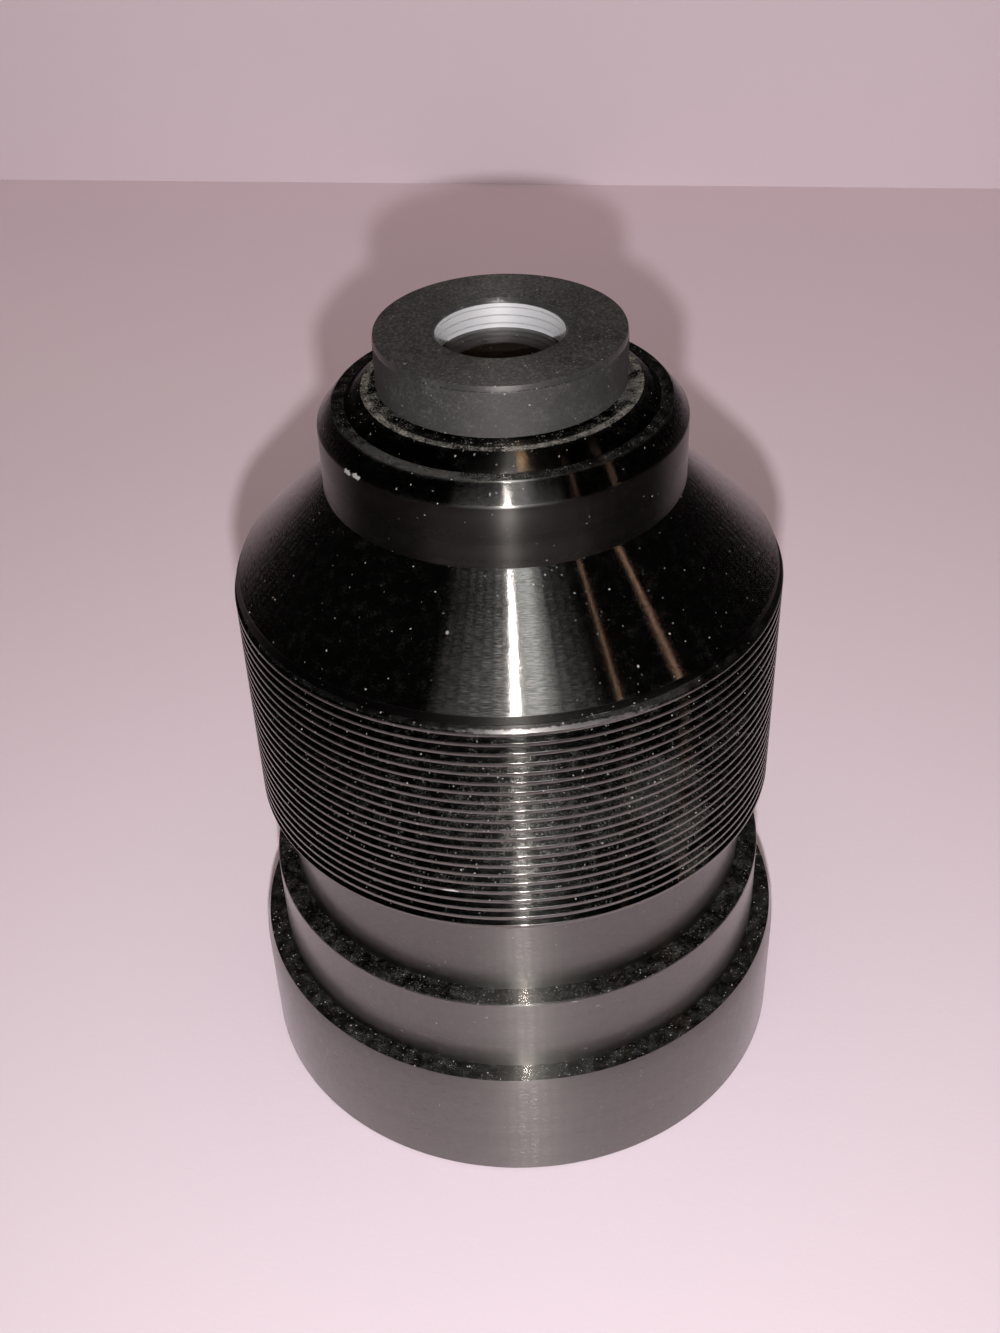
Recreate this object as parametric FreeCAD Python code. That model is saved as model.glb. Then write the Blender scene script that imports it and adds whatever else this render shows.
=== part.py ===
import FreeCAD, Part
import math
import os

from FreeCAD import Vector

# A projection lens standing on its wide front end, in millimetres.
# The optical axis is Z, and z = 0 is the plane that the front rim stands on.
# Every piece is turned about that axis, so each one is an outline in radius and height.

# Rim and lands at the wide front end
rim_d = 77.6
rim_height = 19.0
rim_taper_height = 2.4
rim_taper_run = 0.55
rim_foot_chamfer = 0.4
land_d = 71.2
land_height = 12.3
edge_break = 0.25
relief_d = 65.5
relief_height = 15.1

# Focusing thread on the barrel, a fine metric one with flat crests
thread_d = 72.0
thread_pitch = 1.5
thread_turns = 22
crest_land = 0.45
flank_angle = 60.0
run_in_height = 1.9
run_in_depth = 0.8

# Shoulder cone, collar and nose
cone_angle = 45.0
collar_d = 46.1
collar_height = 8.2
nose_chamfer_height = 2.4
nose_chamfer_run = 2.0
nose_land = 1.55
nose_seat_depth = 4.0

# Tip cap and what it clamps
tip_d = 30.9
tip_height = 6.5
tip_edge_height = 0.7
tip_edge_run = 0.12
tip_gap = 0.6
tip_lip = 0.6
tip_mouth_chamfer = 0.4
window_d = 15.8
sleeve_wall = 1.0
sleeve_grooves = 3
sleeve_groove_pitch = 1.05
sleeve_groove_depth = 0.16
sleeve_plain_foot = 0.1
neck_wall = 3.6
neck_top_gap = 0.2
cap_step_height = 1.0

# Walls and clearances that every fit is taken from
land_wall = 2.3
relief_wall = 3.35
thread_clearance = 0.1
glass_clearance = 0.05
seat_clearance = 0.05
ring_height = 2.4
slot_width = 2.0
slot_depth = 1.0

# Front group, in the rim and the long bore behind it
front_seat_below_ledge = 3.2
front_edge = 5.75
front_outer_radius = 75.0
front_inner_radius = 36.0
front_clear_d = 50.0
mouth_step = 1.1
front_ring_width = 3.3
front_ring_height = 6.2
stack_ring_recess = 0.7
second_edge = 7.96
second_outer_radius = 90.0
second_inner_radius = 34.0
second_land = 2.8
second_clear_d = 46.0
field_seat_in_thread = 9.6
field_edge = 6.0
field_radius = 55.0
field_land = 2.3
rim_margin = 0.1

# Middle cell, carried by a step inside the barrel under the shoulder cone
cell_step_height = 10.0
cell_step_wall = 0.2
cell_flange_height = 2.6
cell_wall = 3.9
cell_bore_d = 36.0
cell_height = 19.0
lock_ring_height = 1.9
lock_ring_width = 3.1
septum_height = 2.0
septum_above_step = 8.0
septum_d = 24.0
aperture_d = 18.0
aperture_thickness = 0.8
stop_spacer_height = 3.2
stop_edge = 3.2
stop_front_radius = 90.0
stop_rear_radius = 45.0
stop_land = 1.4
middle_front_radius = 60.0
middle_joint_radius = 60.0
middle_rear_radius = 45.0
middle_flint_edge = 6.3
middle_edge = 7.8
middle_front_land = 2.9
middle_rear_land = 1.9
middle_shoulder_height = 1.0

# Rear cell, carried by the nose
rear_bore_d = 24.2
rear_cell_wall = 3.8
rear_cell_depth = 11.0
nose_bore_clearance = 0.1
cell_cone_height = 1.7
cell_cone_run = 2.1
rear_seat_above_flange = 0.5
rear_edge = 5.5
rear_flint_edge = 3.5
rear_front_radius = 80.0
rear_joint_radius = 60.0
rear_rear_radius = 30.0
rear_land = 1.5
throat_height = 2.5
last_seat_land = 0.8
last_edge = 4.0
last_radius = 30.0

# Heights of the outside, from the foot up
z_ledge = rim_height
z_relief = z_ledge + land_height
z_thread = z_relief + relief_height
z_run_in = z_thread + (thread_turns - 1) * thread_pitch + crest_land
z_cone = z_run_in + run_in_height
cone_base_r = thread_d / 2 - run_in_depth
cone_height = (cone_base_r - collar_d / 2) / math.tan(math.radians(cone_angle))
z_collar = z_cone + cone_height
z_chamfer = z_collar + collar_height
z_nose = z_chamfer + nose_chamfer_height
z_inner_ledge = z_nose + cell_cone_height
z_tip = z_inner_ledge + tip_gap
z_top = z_tip + tip_height

# Bores of the barrel
r_front_bore = land_d / 2 - land_wall
r_mouth = r_front_bore + mouth_step
r_stack = relief_d / 2 - relief_wall
r_step = r_stack - field_land + cell_step_wall
r_cell_outer = cell_bore_d / 2 + cell_wall
r_cell_bore = r_cell_outer + thread_clearance
r_nose_seat = collar_d / 2 - nose_chamfer_run - nose_land
r_rear_outer = rear_bore_d / 2 + rear_cell_wall
r_nose_bore = r_rear_outer + nose_bore_clearance
z_front_seat = z_ledge - front_seat_below_ledge
z_field_seat = z_thread + field_seat_in_thread
z_cell_step = z_field_seat + cell_step_height
z_cell_top = z_cell_step + cell_height
z_middle_stop = z_cell_top + middle_shoulder_height
z_nose_seat = z_nose - nose_seat_depth


def sag(radius, reach):
    """Height that a sphere of the given radius falls over the given reach from its pole."""
    return radius - math.sqrt(radius * radius - reach * reach)


class Outline:
    """A closed outline in radius and height, drawn from one corner to the next."""

    def __init__(self, radius, height):
        self.start = Vector(radius, 0, height)
        self.here = self.start
        self.edges = []

    def line(self, radius, height):
        """Draws a straight edge to the next corner."""
        there = Vector(radius, 0, height)
        if there.distanceToPoint(self.here) > 1e-6:
            self.edges.append(Part.LineSegment(self.here, there).toShape())
            self.here = there
        return self

    def dome(self, radius, height, curve):
        """Draws a spherical surface to the next corner. A positive curve bulges upwards."""
        pole_side = 1 if curve > 0 else -1
        ball = abs(curve)
        middle = (self.here.x + radius) / 2
        pole = height + pole_side * sag(ball, radius)
        there = Vector(radius, 0, height)
        through = Vector(middle, 0, pole - pole_side * sag(ball, middle))
        self.edges.append(Part.Arc(self.here, through, there).toShape())
        self.here = there
        return self

    def turned(self):
        """Closes the outline and turns it once round the axis."""
        self.line(self.start.x, self.start.z)
        face = Part.Face(Part.Wire(self.edges))
        return face.revolve(Vector(0, 0, 0), Vector(0, 0, 1), 360)


def ring(inner_r, outer_r, low, high):
    """A plain turned ring."""
    outline = Outline(inner_r, low).line(outer_r, low).line(outer_r, high).line(inner_r, high)
    return outline.turned()


def spanner_slots(inner_r, outer_r, low, high):
    """Two opposite slots that a pin spanner turns a screwed ring by."""
    margin = 1.0
    reach = outer_r + margin
    bar = Part.makeBox(2 * reach, slot_width, high - low, Vector(-reach, -slot_width / 2, low))
    core = Part.makeCylinder(inner_r - margin, high - low, Vector(0, 0, low))
    return bar.cut(core)


def slotted_ring(inner_r, outer_r, low, high, slots_up):
    """A screwed ring with its spanner slots in the upper or the lower face."""
    body = ring(inner_r, outer_r, low, high)
    if slots_up:
        return body.cut(spanner_slots(inner_r, outer_r, high - slot_depth, high))
    return body.cut(spanner_slots(inner_r, outer_r, low, low + slot_depth))


def add_thread(outline):
    """Draws the thread's profile up the barrel: flat crests with sharp V grooves between them."""
    crest_r = thread_d / 2
    groove_half = (thread_pitch - crest_land) / 2
    root_r = crest_r - groove_half / math.tan(math.radians(flank_angle / 2))
    for turn in range(thread_turns):
        low = z_thread + turn * thread_pitch
        outline.line(crest_r, low).line(crest_r, low + crest_land)
        if turn < thread_turns - 1:
            outline.line(root_r, low + crest_land + groove_half)


def main_barrel():
    """The turned body: rim, lands, thread, shoulder cone and collar outside, stepped bores inside."""
    rim_r = rim_d / 2
    land_r = land_d / 2
    collar_r = collar_d / 2
    nose_r = collar_r - nose_chamfer_run
    z_taper = z_ledge - rim_taper_height
    outline = Outline(r_mouth, 0)
    outline.line(rim_r - rim_foot_chamfer, 0).line(rim_r, rim_foot_chamfer)
    outline.line(rim_r, z_taper).line(rim_r - rim_taper_run, z_ledge)
    outline.line(land_r, z_ledge)
    outline.line(land_r, z_relief - edge_break).line(land_r - edge_break, z_relief)
    outline.line(relief_d / 2, z_relief).line(relief_d / 2, z_thread)
    add_thread(outline)
    outline.line(cone_base_r, z_cone).line(collar_r, z_collar)
    outline.line(collar_r, z_chamfer).line(nose_r, z_nose)
    outline.line(r_nose_seat, z_nose).line(r_nose_seat, z_nose_seat)
    outline.line(r_nose_bore, z_nose_seat).line(r_nose_bore, z_middle_stop)
    outline.line(r_cell_bore, z_middle_stop).line(r_cell_bore, z_cell_step)
    outline.line(r_step, z_cell_step).line(r_step, z_field_seat)
    outline.line(r_stack, z_field_seat).line(r_stack, z_front_seat)
    outline.line(r_front_bore, z_front_seat).line(r_front_bore, z_front_ring_top() + seat_clearance)
    outline.line(r_mouth, z_front_ring_top() + seat_clearance)
    return outline.turned()


# Front group

def z_front_pole():
    """Height of the front glass at its middle, above the plane that the rim stands on."""
    glass_r = r_front_bore - glass_clearance
    return z_front_seat - front_edge - sag(front_outer_radius, glass_r)


def r_front_ring_inner():
    """Inner radius of the front ring."""
    return r_mouth - thread_clearance - front_ring_width


def z_front_ring_top():
    """Height at which the front ring's inner edge meets the glass."""
    return z_front_pole() + sag(front_outer_radius, r_front_ring_inner())


def front_meniscus():
    """The large front glass: convex towards the screen, deeply hollow behind."""
    glass_r = r_front_bore - glass_clearance
    clear_r = front_clear_d / 2
    pole = z_front_pole()
    rim = z_front_seat - front_edge
    hollow = z_front_seat - sag(front_inner_radius, clear_r)
    outline = Outline(0, pole).dome(glass_r, rim, -front_outer_radius)
    outline.line(glass_r, z_front_seat).line(clear_r, z_front_seat)
    outline.dome(0, hollow, -front_inner_radius)
    return outline.turned()


def front_retaining_ring():
    """The screwed ring that holds the front glass, its slots facing the screen."""
    top = z_front_ring_top()
    outer = r_mouth - thread_clearance
    return slotted_ring(r_front_ring_inner(), outer, top - front_ring_height, top, False)


def z_second_seat():
    """Height of the face of the second glass that its ring presses on."""
    return z_front_seat + stack_ring_recess + ring_height


def stack_ring():
    """The screwed ring that clamps the second glass, the spacer and the field glass."""
    outer = r_stack - thread_clearance
    inner = r_stack - glass_clearance - second_land + rim_margin
    return slotted_ring(inner, outer, z_second_seat() - ring_height, z_second_seat(), False)


def second_meniscus():
    """The second glass, a thinner meniscus with a flat rim on both sides."""
    glass_r = r_stack - glass_clearance
    front_r = glass_r - second_land
    clear_r = second_clear_d / 2
    low = z_second_seat()
    high = low + second_edge
    pole = low - sag(second_outer_radius, front_r)
    hollow = high - sag(second_inner_radius, clear_r)
    outline = Outline(0, pole).dome(front_r, low, -second_outer_radius).line(glass_r, low)
    outline.line(glass_r, high).line(clear_r, high).dome(0, hollow, -second_inner_radius)
    return outline.turned()


def long_spacer():
    """The tube that keeps the second glass and the field glass apart."""
    outer = r_stack - glass_clearance
    inner = outer - field_land + rim_margin
    return ring(inner, outer, z_second_seat() + second_edge, z_field_seat - field_edge)


def field_lens():
    """The strong biconvex glass behind the spacer, seated against the step in the barrel."""
    glass_r = r_stack - glass_clearance
    clear_r = glass_r - field_land
    low = z_field_seat - field_edge
    drop = sag(field_radius, clear_r)
    outline = Outline(0, low - drop).dome(clear_r, low, -field_radius).line(glass_r, low)
    outline.line(glass_r, z_field_seat).line(clear_r, z_field_seat).dome(0, z_field_seat + drop, field_radius)
    return outline.turned()


# Middle group

def middle_cell():
    """The flanged tube that carries the stop, one glass before it and a cemented pair behind."""
    flange_r = r_step - thread_clearance
    bore_r = cell_bore_d / 2
    foot = z_cell_step - cell_flange_height
    septum = z_cell_step + septum_above_step
    outline = Outline(bore_r, foot).line(flange_r, foot).line(flange_r, z_cell_step)
    outline.line(r_cell_outer, z_cell_step).line(r_cell_outer, z_cell_top).line(bore_r, z_cell_top)
    outline.line(bore_r, septum + septum_height).line(septum_d / 2, septum + septum_height)
    outline.line(septum_d / 2, septum).line(bore_r, septum)
    return outline.turned()


def cell_lock_ring():
    """The screwed ring that holds the middle cell against its step."""
    outer = r_step - thread_clearance
    top = z_cell_step - cell_flange_height
    return slotted_ring(outer - lock_ring_width, outer, top - lock_ring_height, top, False)


def z_stop_lens():
    """Height of the rear rim of the glass in front of the stop."""
    return z_cell_step + septum_above_step - aperture_thickness - stop_spacer_height


def aperture_stop():
    """The thin blackened disc whose hole is the stop."""
    top = z_cell_step + septum_above_step
    outer = cell_bore_d / 2 - glass_clearance
    return ring(aperture_d / 2, outer, top - aperture_thickness, top)


def stop_spacer():
    """The short tube between the stop and the glass in front of it."""
    outer = cell_bore_d / 2 - glass_clearance
    return ring(outer - stop_land + rim_margin, outer, z_stop_lens(), z_stop_lens() + stop_spacer_height)


def stop_lens():
    """The biconvex glass in front of the stop."""
    glass_r = cell_bore_d / 2 - glass_clearance
    clear_r = glass_r - stop_land
    high = z_stop_lens()
    low = high - stop_edge
    outline = Outline(0, low - sag(stop_front_radius, clear_r)).dome(clear_r, low, -stop_front_radius)
    outline.line(glass_r, low).line(glass_r, high).line(clear_r, high)
    outline.dome(0, high + sag(stop_rear_radius, clear_r), stop_rear_radius)
    return outline.turned()


def stop_lens_ring():
    """The screwed ring that holds the glass in front of the stop."""
    outer = cell_bore_d / 2 - thread_clearance
    inner = cell_bore_d / 2 - glass_clearance - stop_land + rim_margin
    top = z_stop_lens() - stop_edge
    return slotted_ring(inner, outer, top - ring_height, top, False)


def z_middle_pair():
    """Height of the septum face that the cemented pair sits on."""
    return z_cell_step + septum_above_step + septum_height


def middle_flint():
    """The hollow half of the middle cemented pair."""
    glass_r = cell_bore_d / 2 - glass_clearance
    clear_r = glass_r - middle_front_land
    low = z_middle_pair()
    joint = low + middle_flint_edge
    outline = Outline(0, low + sag(middle_front_radius, clear_r)).dome(clear_r, low, middle_front_radius)
    outline.line(glass_r, low).line(glass_r, joint)
    outline.dome(0, joint - sag(middle_joint_radius, glass_r), -middle_joint_radius)
    return outline.turned()


def middle_crown():
    """The bulging half of the middle cemented pair."""
    glass_r = cell_bore_d / 2 - glass_clearance
    clear_r = glass_r - middle_rear_land
    joint = z_middle_pair() + middle_flint_edge
    high = z_middle_pair() + middle_edge
    outline = Outline(0, joint - sag(middle_joint_radius, glass_r)).dome(glass_r, joint, -middle_joint_radius)
    outline.line(glass_r, high).line(clear_r, high)
    outline.dome(0, high + sag(middle_rear_radius, clear_r), middle_rear_radius)
    return outline.turned()


def middle_pair_ring():
    """The screwed ring that holds the middle cemented pair."""
    outer = cell_bore_d / 2 - thread_clearance
    inner = cell_bore_d / 2 - glass_clearance - middle_rear_land + rim_margin
    low = z_middle_pair() + middle_edge
    return slotted_ring(inner, outer, low, z_cell_top, True)


# Rear group

def r_neck():
    """Outer radius of the neck that the tip cap screws on."""
    return window_d / 2 + sleeve_wall + glass_clearance + neck_wall


def z_last_seat():
    """Height of the flat that the last glass sits on."""
    return z_last_rim() - last_edge


def z_last_rim():
    """Height of the rim of the last glass, which the sleeve's inner edge sets through its curve."""
    glass_r = window_d / 2 + sleeve_wall
    return z_sleeve_foot() - sag(last_radius, glass_r) + sag(last_radius, window_d / 2)


def z_sleeve_foot():
    """Height at which the sleeve's inner edge meets the last glass."""
    return z_lip() - sleeve_grooves * sleeve_groove_pitch - sleeve_plain_foot


def z_lip():
    """Height of the underside of the tip cap's lip."""
    return z_top - tip_lip


def rear_cell():
    """The flanged nose piece that carries the rear pair, the last glass and the tip cap."""
    flange_r = r_nose_seat - seat_clearance
    ledge_r = flange_r - cell_cone_run
    last_r = window_d / 2 + sleeve_wall + glass_clearance
    seat_r = last_r - last_seat_land
    bore_r = rear_bore_d / 2
    pair_seat = z_nose_seat + rear_seat_above_flange
    throat_r = bore_r - rear_land
    foot = z_nose_seat - rear_cell_depth
    outline = Outline(bore_r, foot).line(r_rear_outer, foot).line(r_rear_outer, z_nose_seat)
    outline.line(flange_r, z_nose_seat).line(flange_r, z_nose).line(ledge_r, z_inner_ledge)
    outline.line(r_neck(), z_inner_ledge).line(r_neck(), z_neck_top()).line(last_r, z_neck_top())
    outline.line(last_r, z_last_seat()).line(seat_r, z_last_seat())
    outline.line(throat_r, pair_seat + throat_height).line(throat_r, pair_seat).line(bore_r, pair_seat)
    return outline.turned()


def z_neck_top():
    """Height of the top of the neck, just under the tip cap's lip."""
    return z_lip() - cap_step_height - neck_top_gap


def rear_crown():
    """The bulging half of the rear cemented pair, seated in the nose piece."""
    glass_r = rear_bore_d / 2 - glass_clearance
    clear_r = rear_bore_d / 2 - rear_land - glass_clearance
    high = z_nose_seat + rear_seat_above_flange
    joint = high - rear_edge + rear_flint_edge
    outline = Outline(0, joint - sag(rear_joint_radius, glass_r)).dome(glass_r, joint, -rear_joint_radius)
    outline.line(glass_r, high).line(clear_r, high)
    outline.dome(0, high + sag(rear_rear_radius, clear_r), rear_rear_radius)
    return outline.turned()


def rear_flint():
    """The hollow half of the rear cemented pair."""
    glass_r = rear_bore_d / 2 - glass_clearance
    clear_r = glass_r - rear_land
    low = z_nose_seat + rear_seat_above_flange - rear_edge
    joint = low + rear_flint_edge
    outline = Outline(0, low + sag(rear_front_radius, clear_r)).dome(clear_r, low, rear_front_radius)
    outline.line(glass_r, low).line(glass_r, joint)
    outline.dome(0, joint - sag(rear_joint_radius, glass_r), -rear_joint_radius)
    return outline.turned()


def rear_pair_ring():
    """The screwed ring that holds the rear cemented pair."""
    outer = rear_bore_d / 2 - thread_clearance
    inner = rear_bore_d / 2 - glass_clearance - rear_land + rim_margin
    top = z_nose_seat + rear_seat_above_flange - rear_edge
    return slotted_ring(inner, outer, top - ring_height, top, False)


def last_lens():
    """The small glass seen through the tip: flat inside, gently bulging outside."""
    glass_r = window_d / 2 + sleeve_wall
    rim = z_last_rim()
    outline = Outline(0, z_last_seat()).line(glass_r, z_last_seat()).line(glass_r, rim)
    outline.dome(0, rim + sag(last_radius, glass_r), last_radius)
    return outline.turned()


def bright_sleeve():
    """The bare sleeve under the cap's lip, grooved inside, that presses on the last glass."""
    inner = window_d / 2
    outer = inner + sleeve_wall
    foot = z_sleeve_foot()
    half = sleeve_groove_pitch / 4
    relief = foot - sag(last_radius, outer) + sag(last_radius, inner)
    outline = Outline(inner, z_lip())
    for groove in range(sleeve_grooves):
        middle = z_lip() - (groove + 0.5) * sleeve_groove_pitch
        outline.line(inner, middle + half)
        outline.line(inner + sleeve_groove_depth, middle).line(inner, middle - half)
    outline.line(inner, foot).dome(outer, relief, last_radius)
    outline.line(outer, z_lip())
    return outline.turned()


def tip_cap():
    """The black cap screwed on the neck, whose lip clamps the sleeve."""
    outer = tip_d / 2
    lip_r = window_d / 2
    sleeve_r = lip_r + sleeve_wall + seat_clearance
    thread_r = r_neck() + thread_clearance
    z_pocket = z_neck_top() + neck_top_gap
    outline = Outline(thread_r, z_tip).line(outer, z_tip).line(outer, z_top - tip_edge_height)
    outline.line(outer - tip_edge_run, z_top).line(lip_r + tip_mouth_chamfer, z_top)
    outline.line(lip_r, z_top - tip_mouth_chamfer).line(lip_r, z_lip())
    outline.line(sleeve_r, z_lip()).line(sleeve_r, z_pocket).line(thread_r, z_pocket)
    return outline.turned()


PIECES = {
    "main_barrel": main_barrel,
    "front_retaining_ring": front_retaining_ring,
    "front_meniscus": front_meniscus,
    "stack_ring": stack_ring,
    "second_meniscus": second_meniscus,
    "long_spacer": long_spacer,
    "field_lens": field_lens,
    "cell_lock_ring": cell_lock_ring,
    "middle_cell": middle_cell,
    "stop_lens_ring": stop_lens_ring,
    "stop_lens": stop_lens,
    "stop_spacer": stop_spacer,
    "aperture_stop": aperture_stop,
    "middle_flint": middle_flint,
    "middle_crown": middle_crown,
    "middle_pair_ring": middle_pair_ring,
    "rear_cell": rear_cell,
    "rear_pair_ring": rear_pair_ring,
    "rear_flint": rear_flint,
    "rear_crown": rear_crown,
    "last_lens": last_lens,
    "bright_sleeve": bright_sleeve,
    "tip_cap": tip_cap,
}

os.makedirs("parts", exist_ok=True)
for name, make in PIECES.items():
    shape = make()
    shape.exportStep(os.path.join("parts", name + ".step"))
    print(name, "valid" if shape.isValid() else "NOT VALID", round(shape.Volume, 1))
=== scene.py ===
"""The looks of a projection lens in black anodised aluminium, standing on its wide front end.

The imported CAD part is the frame. The pieces that show are made again here with finer turning, a true
helical thread and small broken edges, and every surface gets a node-based finish. Lengths are in
metres, heights are measured from the plane that the front rim stands on, and azimuth 0 faces the camera.
"""

import logging
import math
from dataclasses import dataclass, field
from enum import Enum

import bmesh
import bpy
from mathutils import Matrix, Vector


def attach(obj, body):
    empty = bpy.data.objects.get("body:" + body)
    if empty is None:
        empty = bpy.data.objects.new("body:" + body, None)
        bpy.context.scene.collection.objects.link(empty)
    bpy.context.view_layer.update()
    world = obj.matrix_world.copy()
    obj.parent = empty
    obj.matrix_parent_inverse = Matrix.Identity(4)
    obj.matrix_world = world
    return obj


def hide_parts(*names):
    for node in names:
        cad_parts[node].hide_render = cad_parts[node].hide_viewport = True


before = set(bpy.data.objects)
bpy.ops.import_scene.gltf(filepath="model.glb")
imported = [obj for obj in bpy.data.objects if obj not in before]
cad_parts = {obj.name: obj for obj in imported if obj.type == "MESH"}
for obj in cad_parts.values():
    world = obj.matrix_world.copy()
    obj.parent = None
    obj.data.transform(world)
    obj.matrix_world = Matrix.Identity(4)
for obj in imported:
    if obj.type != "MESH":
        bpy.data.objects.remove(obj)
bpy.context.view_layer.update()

MM = 0.001
COLUMNS = 192
MERGE = 2e-7
ORIGIN = (0.0, 0.0, 0.0)
AXIS = (0.0, 0.0, 1.0)

log = logging.getLogger("projection_lens")

Colour = tuple[float, float, float]

GRAIN_TURN = 0.25
SHARP_ANGLE = math.radians(20.0)

BAND_EDGE = 0.1 * MM
FLAT_EDGE = 0.2 * MM
GROOVE_EDGE = 0.05 * MM
CREST_EDGE = 0.02 * MM
FLANK_EDGE = 0.08 * MM
LEVEL_LEAN = 0.8
ANY_LEAN = -2.0

FLECK_SCALE = 1500.0
FLECK_SIZE = 0.16
GRAIN_SHOW = 0.7
GRAIN_SHARE = 0.5
DARK_GRAIN = 0.12
DUST_ROUGHNESS = 0.85
DUST_HIDES = 3.0

MARK_DUST = (0.36, 0.33, 0.29)
MARK_ROUGHNESS = 0.45
MARK_METALLIC = 0.6


class Hand(Enum):
    """Which way a thread climbs."""

    RIGHT = 1
    LEFT = -1


class Slot(Enum):
    """The material slots."""

    BARREL = "barrel_black"
    CAP = "cap_black"
    NOSE = "nose_black"
    BARE = "bare_metal"
    RING = "ring_black"
    CELL = "cell_black"
    STOP = "stop_black"
    COATED = "coated_glass"
    CLEAR = "clear_glass"


def grey(level: float) -> Colour:
    """Returns a neutral colour of the given level."""
    return (level, level, level)


# Node trees


class Nodes:
    """A small helper that fills a node tree one node at a time."""

    def __init__(self, tree: bpy.types.NodeTree) -> None:
        """Takes over a tree and empties it.

        Args:
            tree: The node tree to fill.
        """
        self.tree = tree
        tree.nodes.clear()

    def add(self, kind: str, **settings: object) -> bpy.types.Node:
        """Adds a node.

        Args:
            kind: The node's type without its ShaderNode prefix, or its whole name.
            **settings: Properties to set on the node.

        Returns:
            The new node.
        """
        name = kind if kind.startswith("Node") else "ShaderNode" + kind
        node = self.tree.nodes.new(name)
        for key, value in settings.items():
            setattr(node, key, value)
        return node

    def feed(self, socket: bpy.types.NodeSocket, value: object) -> None:
        """Links an output to a socket, or sets the socket to a value.

        Args:
            socket: The input socket.
            value: An output socket, a number or a colour.
        """
        if isinstance(value, bpy.types.NodeSocket):
            self.tree.links.new(value, socket)
        elif isinstance(value, tuple) and len(value) == 3 and socket.type == "RGBA":
            socket.default_value = (*value, 1.0)
        else:
            socket.default_value = value

    def math(self, operation: str, *values: object, clamp: bool = False) -> bpy.types.NodeSocket:
        """Adds a Math node.

        Args:
            operation: The operation's name.
            *values: Its inputs, as outputs of other nodes or numbers.
            clamp: Whether the result is kept between 0 and 1.

        Returns:
            The node's output.
        """
        node = self.add("Math", operation=operation, use_clamp=clamp)
        for socket, value in zip(node.inputs, values):
            self.feed(socket, value)
        return node.outputs[0]

    def ramp(self, value: object, low: float, high: float, smooth: bool = True) -> bpy.types.NodeSocket:
        """Maps a value to 0 at low and 1 at high.

        Args:
            value: The value, as an output.
            low: Where the result is 0.
            high: Where the result is 1. It may be under low.
            smooth: Whether the ramp eases in and out.

        Returns:
            The result, between 0 and 1.
        """
        kind = "SMOOTHSTEP" if smooth else "LINEAR"
        flip = high < low
        node = self.add("MapRange", interpolation_type=kind, clamp=True)
        self.feed(node.inputs["Value"], value)
        self.feed(node.inputs["From Min"], high if flip else low)
        self.feed(node.inputs["From Max"], low if flip else high)
        self.feed(node.inputs["To Min"], 1.0 if flip else 0.0)
        self.feed(node.inputs["To Max"], 0.0 if flip else 1.0)
        return node.outputs["Result"]

    def mix(self, share: object, first: object, second: object) -> bpy.types.NodeSocket:
        """Mixes two colours.

        Args:
            share: How much of the second colour shows.
            first: The first colour.
            second: The second colour.

        Returns:
            The mixed colour.
        """
        node = self.add("Mix", data_type="RGBA")
        self.feed(node.inputs[0], share)
        self.feed(node.inputs[6], first)
        self.feed(node.inputs[7], second)
        return node.outputs[2]

    def blend(self, share: object, first: object, second: object) -> bpy.types.NodeSocket:
        """Mixes two numbers.

        Args:
            share: How much of the second number shows.
            first: The first number.
            second: The second number.

        Returns:
            The mixed number.
        """
        node = self.add("Mix", data_type="FLOAT")
        self.feed(node.inputs[0], share)
        self.feed(node.inputs[2], first)
        self.feed(node.inputs[3], second)
        return node.outputs[0]

    def noise(
        self, where: object, scale: object, detail: float = 2.0, rough: float = 0.5
    ) -> bpy.types.NodeSocket:
        """Adds a noise texture.

        Args:
            where: The coordinates that it reads.
            scale: Its scale, in cells per metre, as a number or an output.
            detail: How many octaves it has.
            rough: How strong the finer octaves are.

        Returns:
            The noise value.
        """
        node = self.add("TexNoise")
        self.feed(node.inputs["Vector"], where)
        self.feed(node.inputs["Scale"], scale)
        self.feed(node.inputs["Detail"], detail)
        self.feed(node.inputs["Roughness"], rough)
        return node.outputs[0]

    def around(self) -> bpy.types.NodeSocket:
        """Works out the direction round the axis, along which a lathe tool cuts.

        Returns:
            A unit vector, level and square to the radius.
        """
        place = self.add("TexCoord")
        cross = self.add("VectorMath", operation="CROSS_PRODUCT")
        self.feed(cross.inputs[0], AXIS)
        self.feed(cross.inputs[1], place.outputs["Object"])
        unit = self.add("VectorMath", operation="NORMALIZE")
        self.feed(unit.inputs[0], cross.outputs[0])
        return unit.outputs[0]

    def group(self, tree: bpy.types.NodeTree, **values: object) -> bpy.types.Node:
        """Places a node group.

        Args:
            tree: The group's tree.
            **values: Its inputs by name, with underscores for spaces.

        Returns:
            The group node.
        """
        node = self.add("Group")
        node.node_tree = tree
        for key, value in values.items():
            self.feed(node.inputs[key.replace("_", " ")], value)
        return node


def new_surface(name: str) -> tuple[bpy.types.Material, Nodes, bpy.types.Node]:
    """Starts a material with one Principled shader.

    Args:
        name: The material's name.

    Returns:
        The material, the helper for its nodes and the shader.
    """
    material = bpy.data.materials.new(name)
    material.use_nodes = True
    kit = Nodes(material.node_tree)
    shader = kit.add("BsdfPrincipled")
    output = kit.add("OutputMaterial")
    kit.feed(output.inputs["Surface"], shader.outputs[0])
    return material, kit, shader


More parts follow.
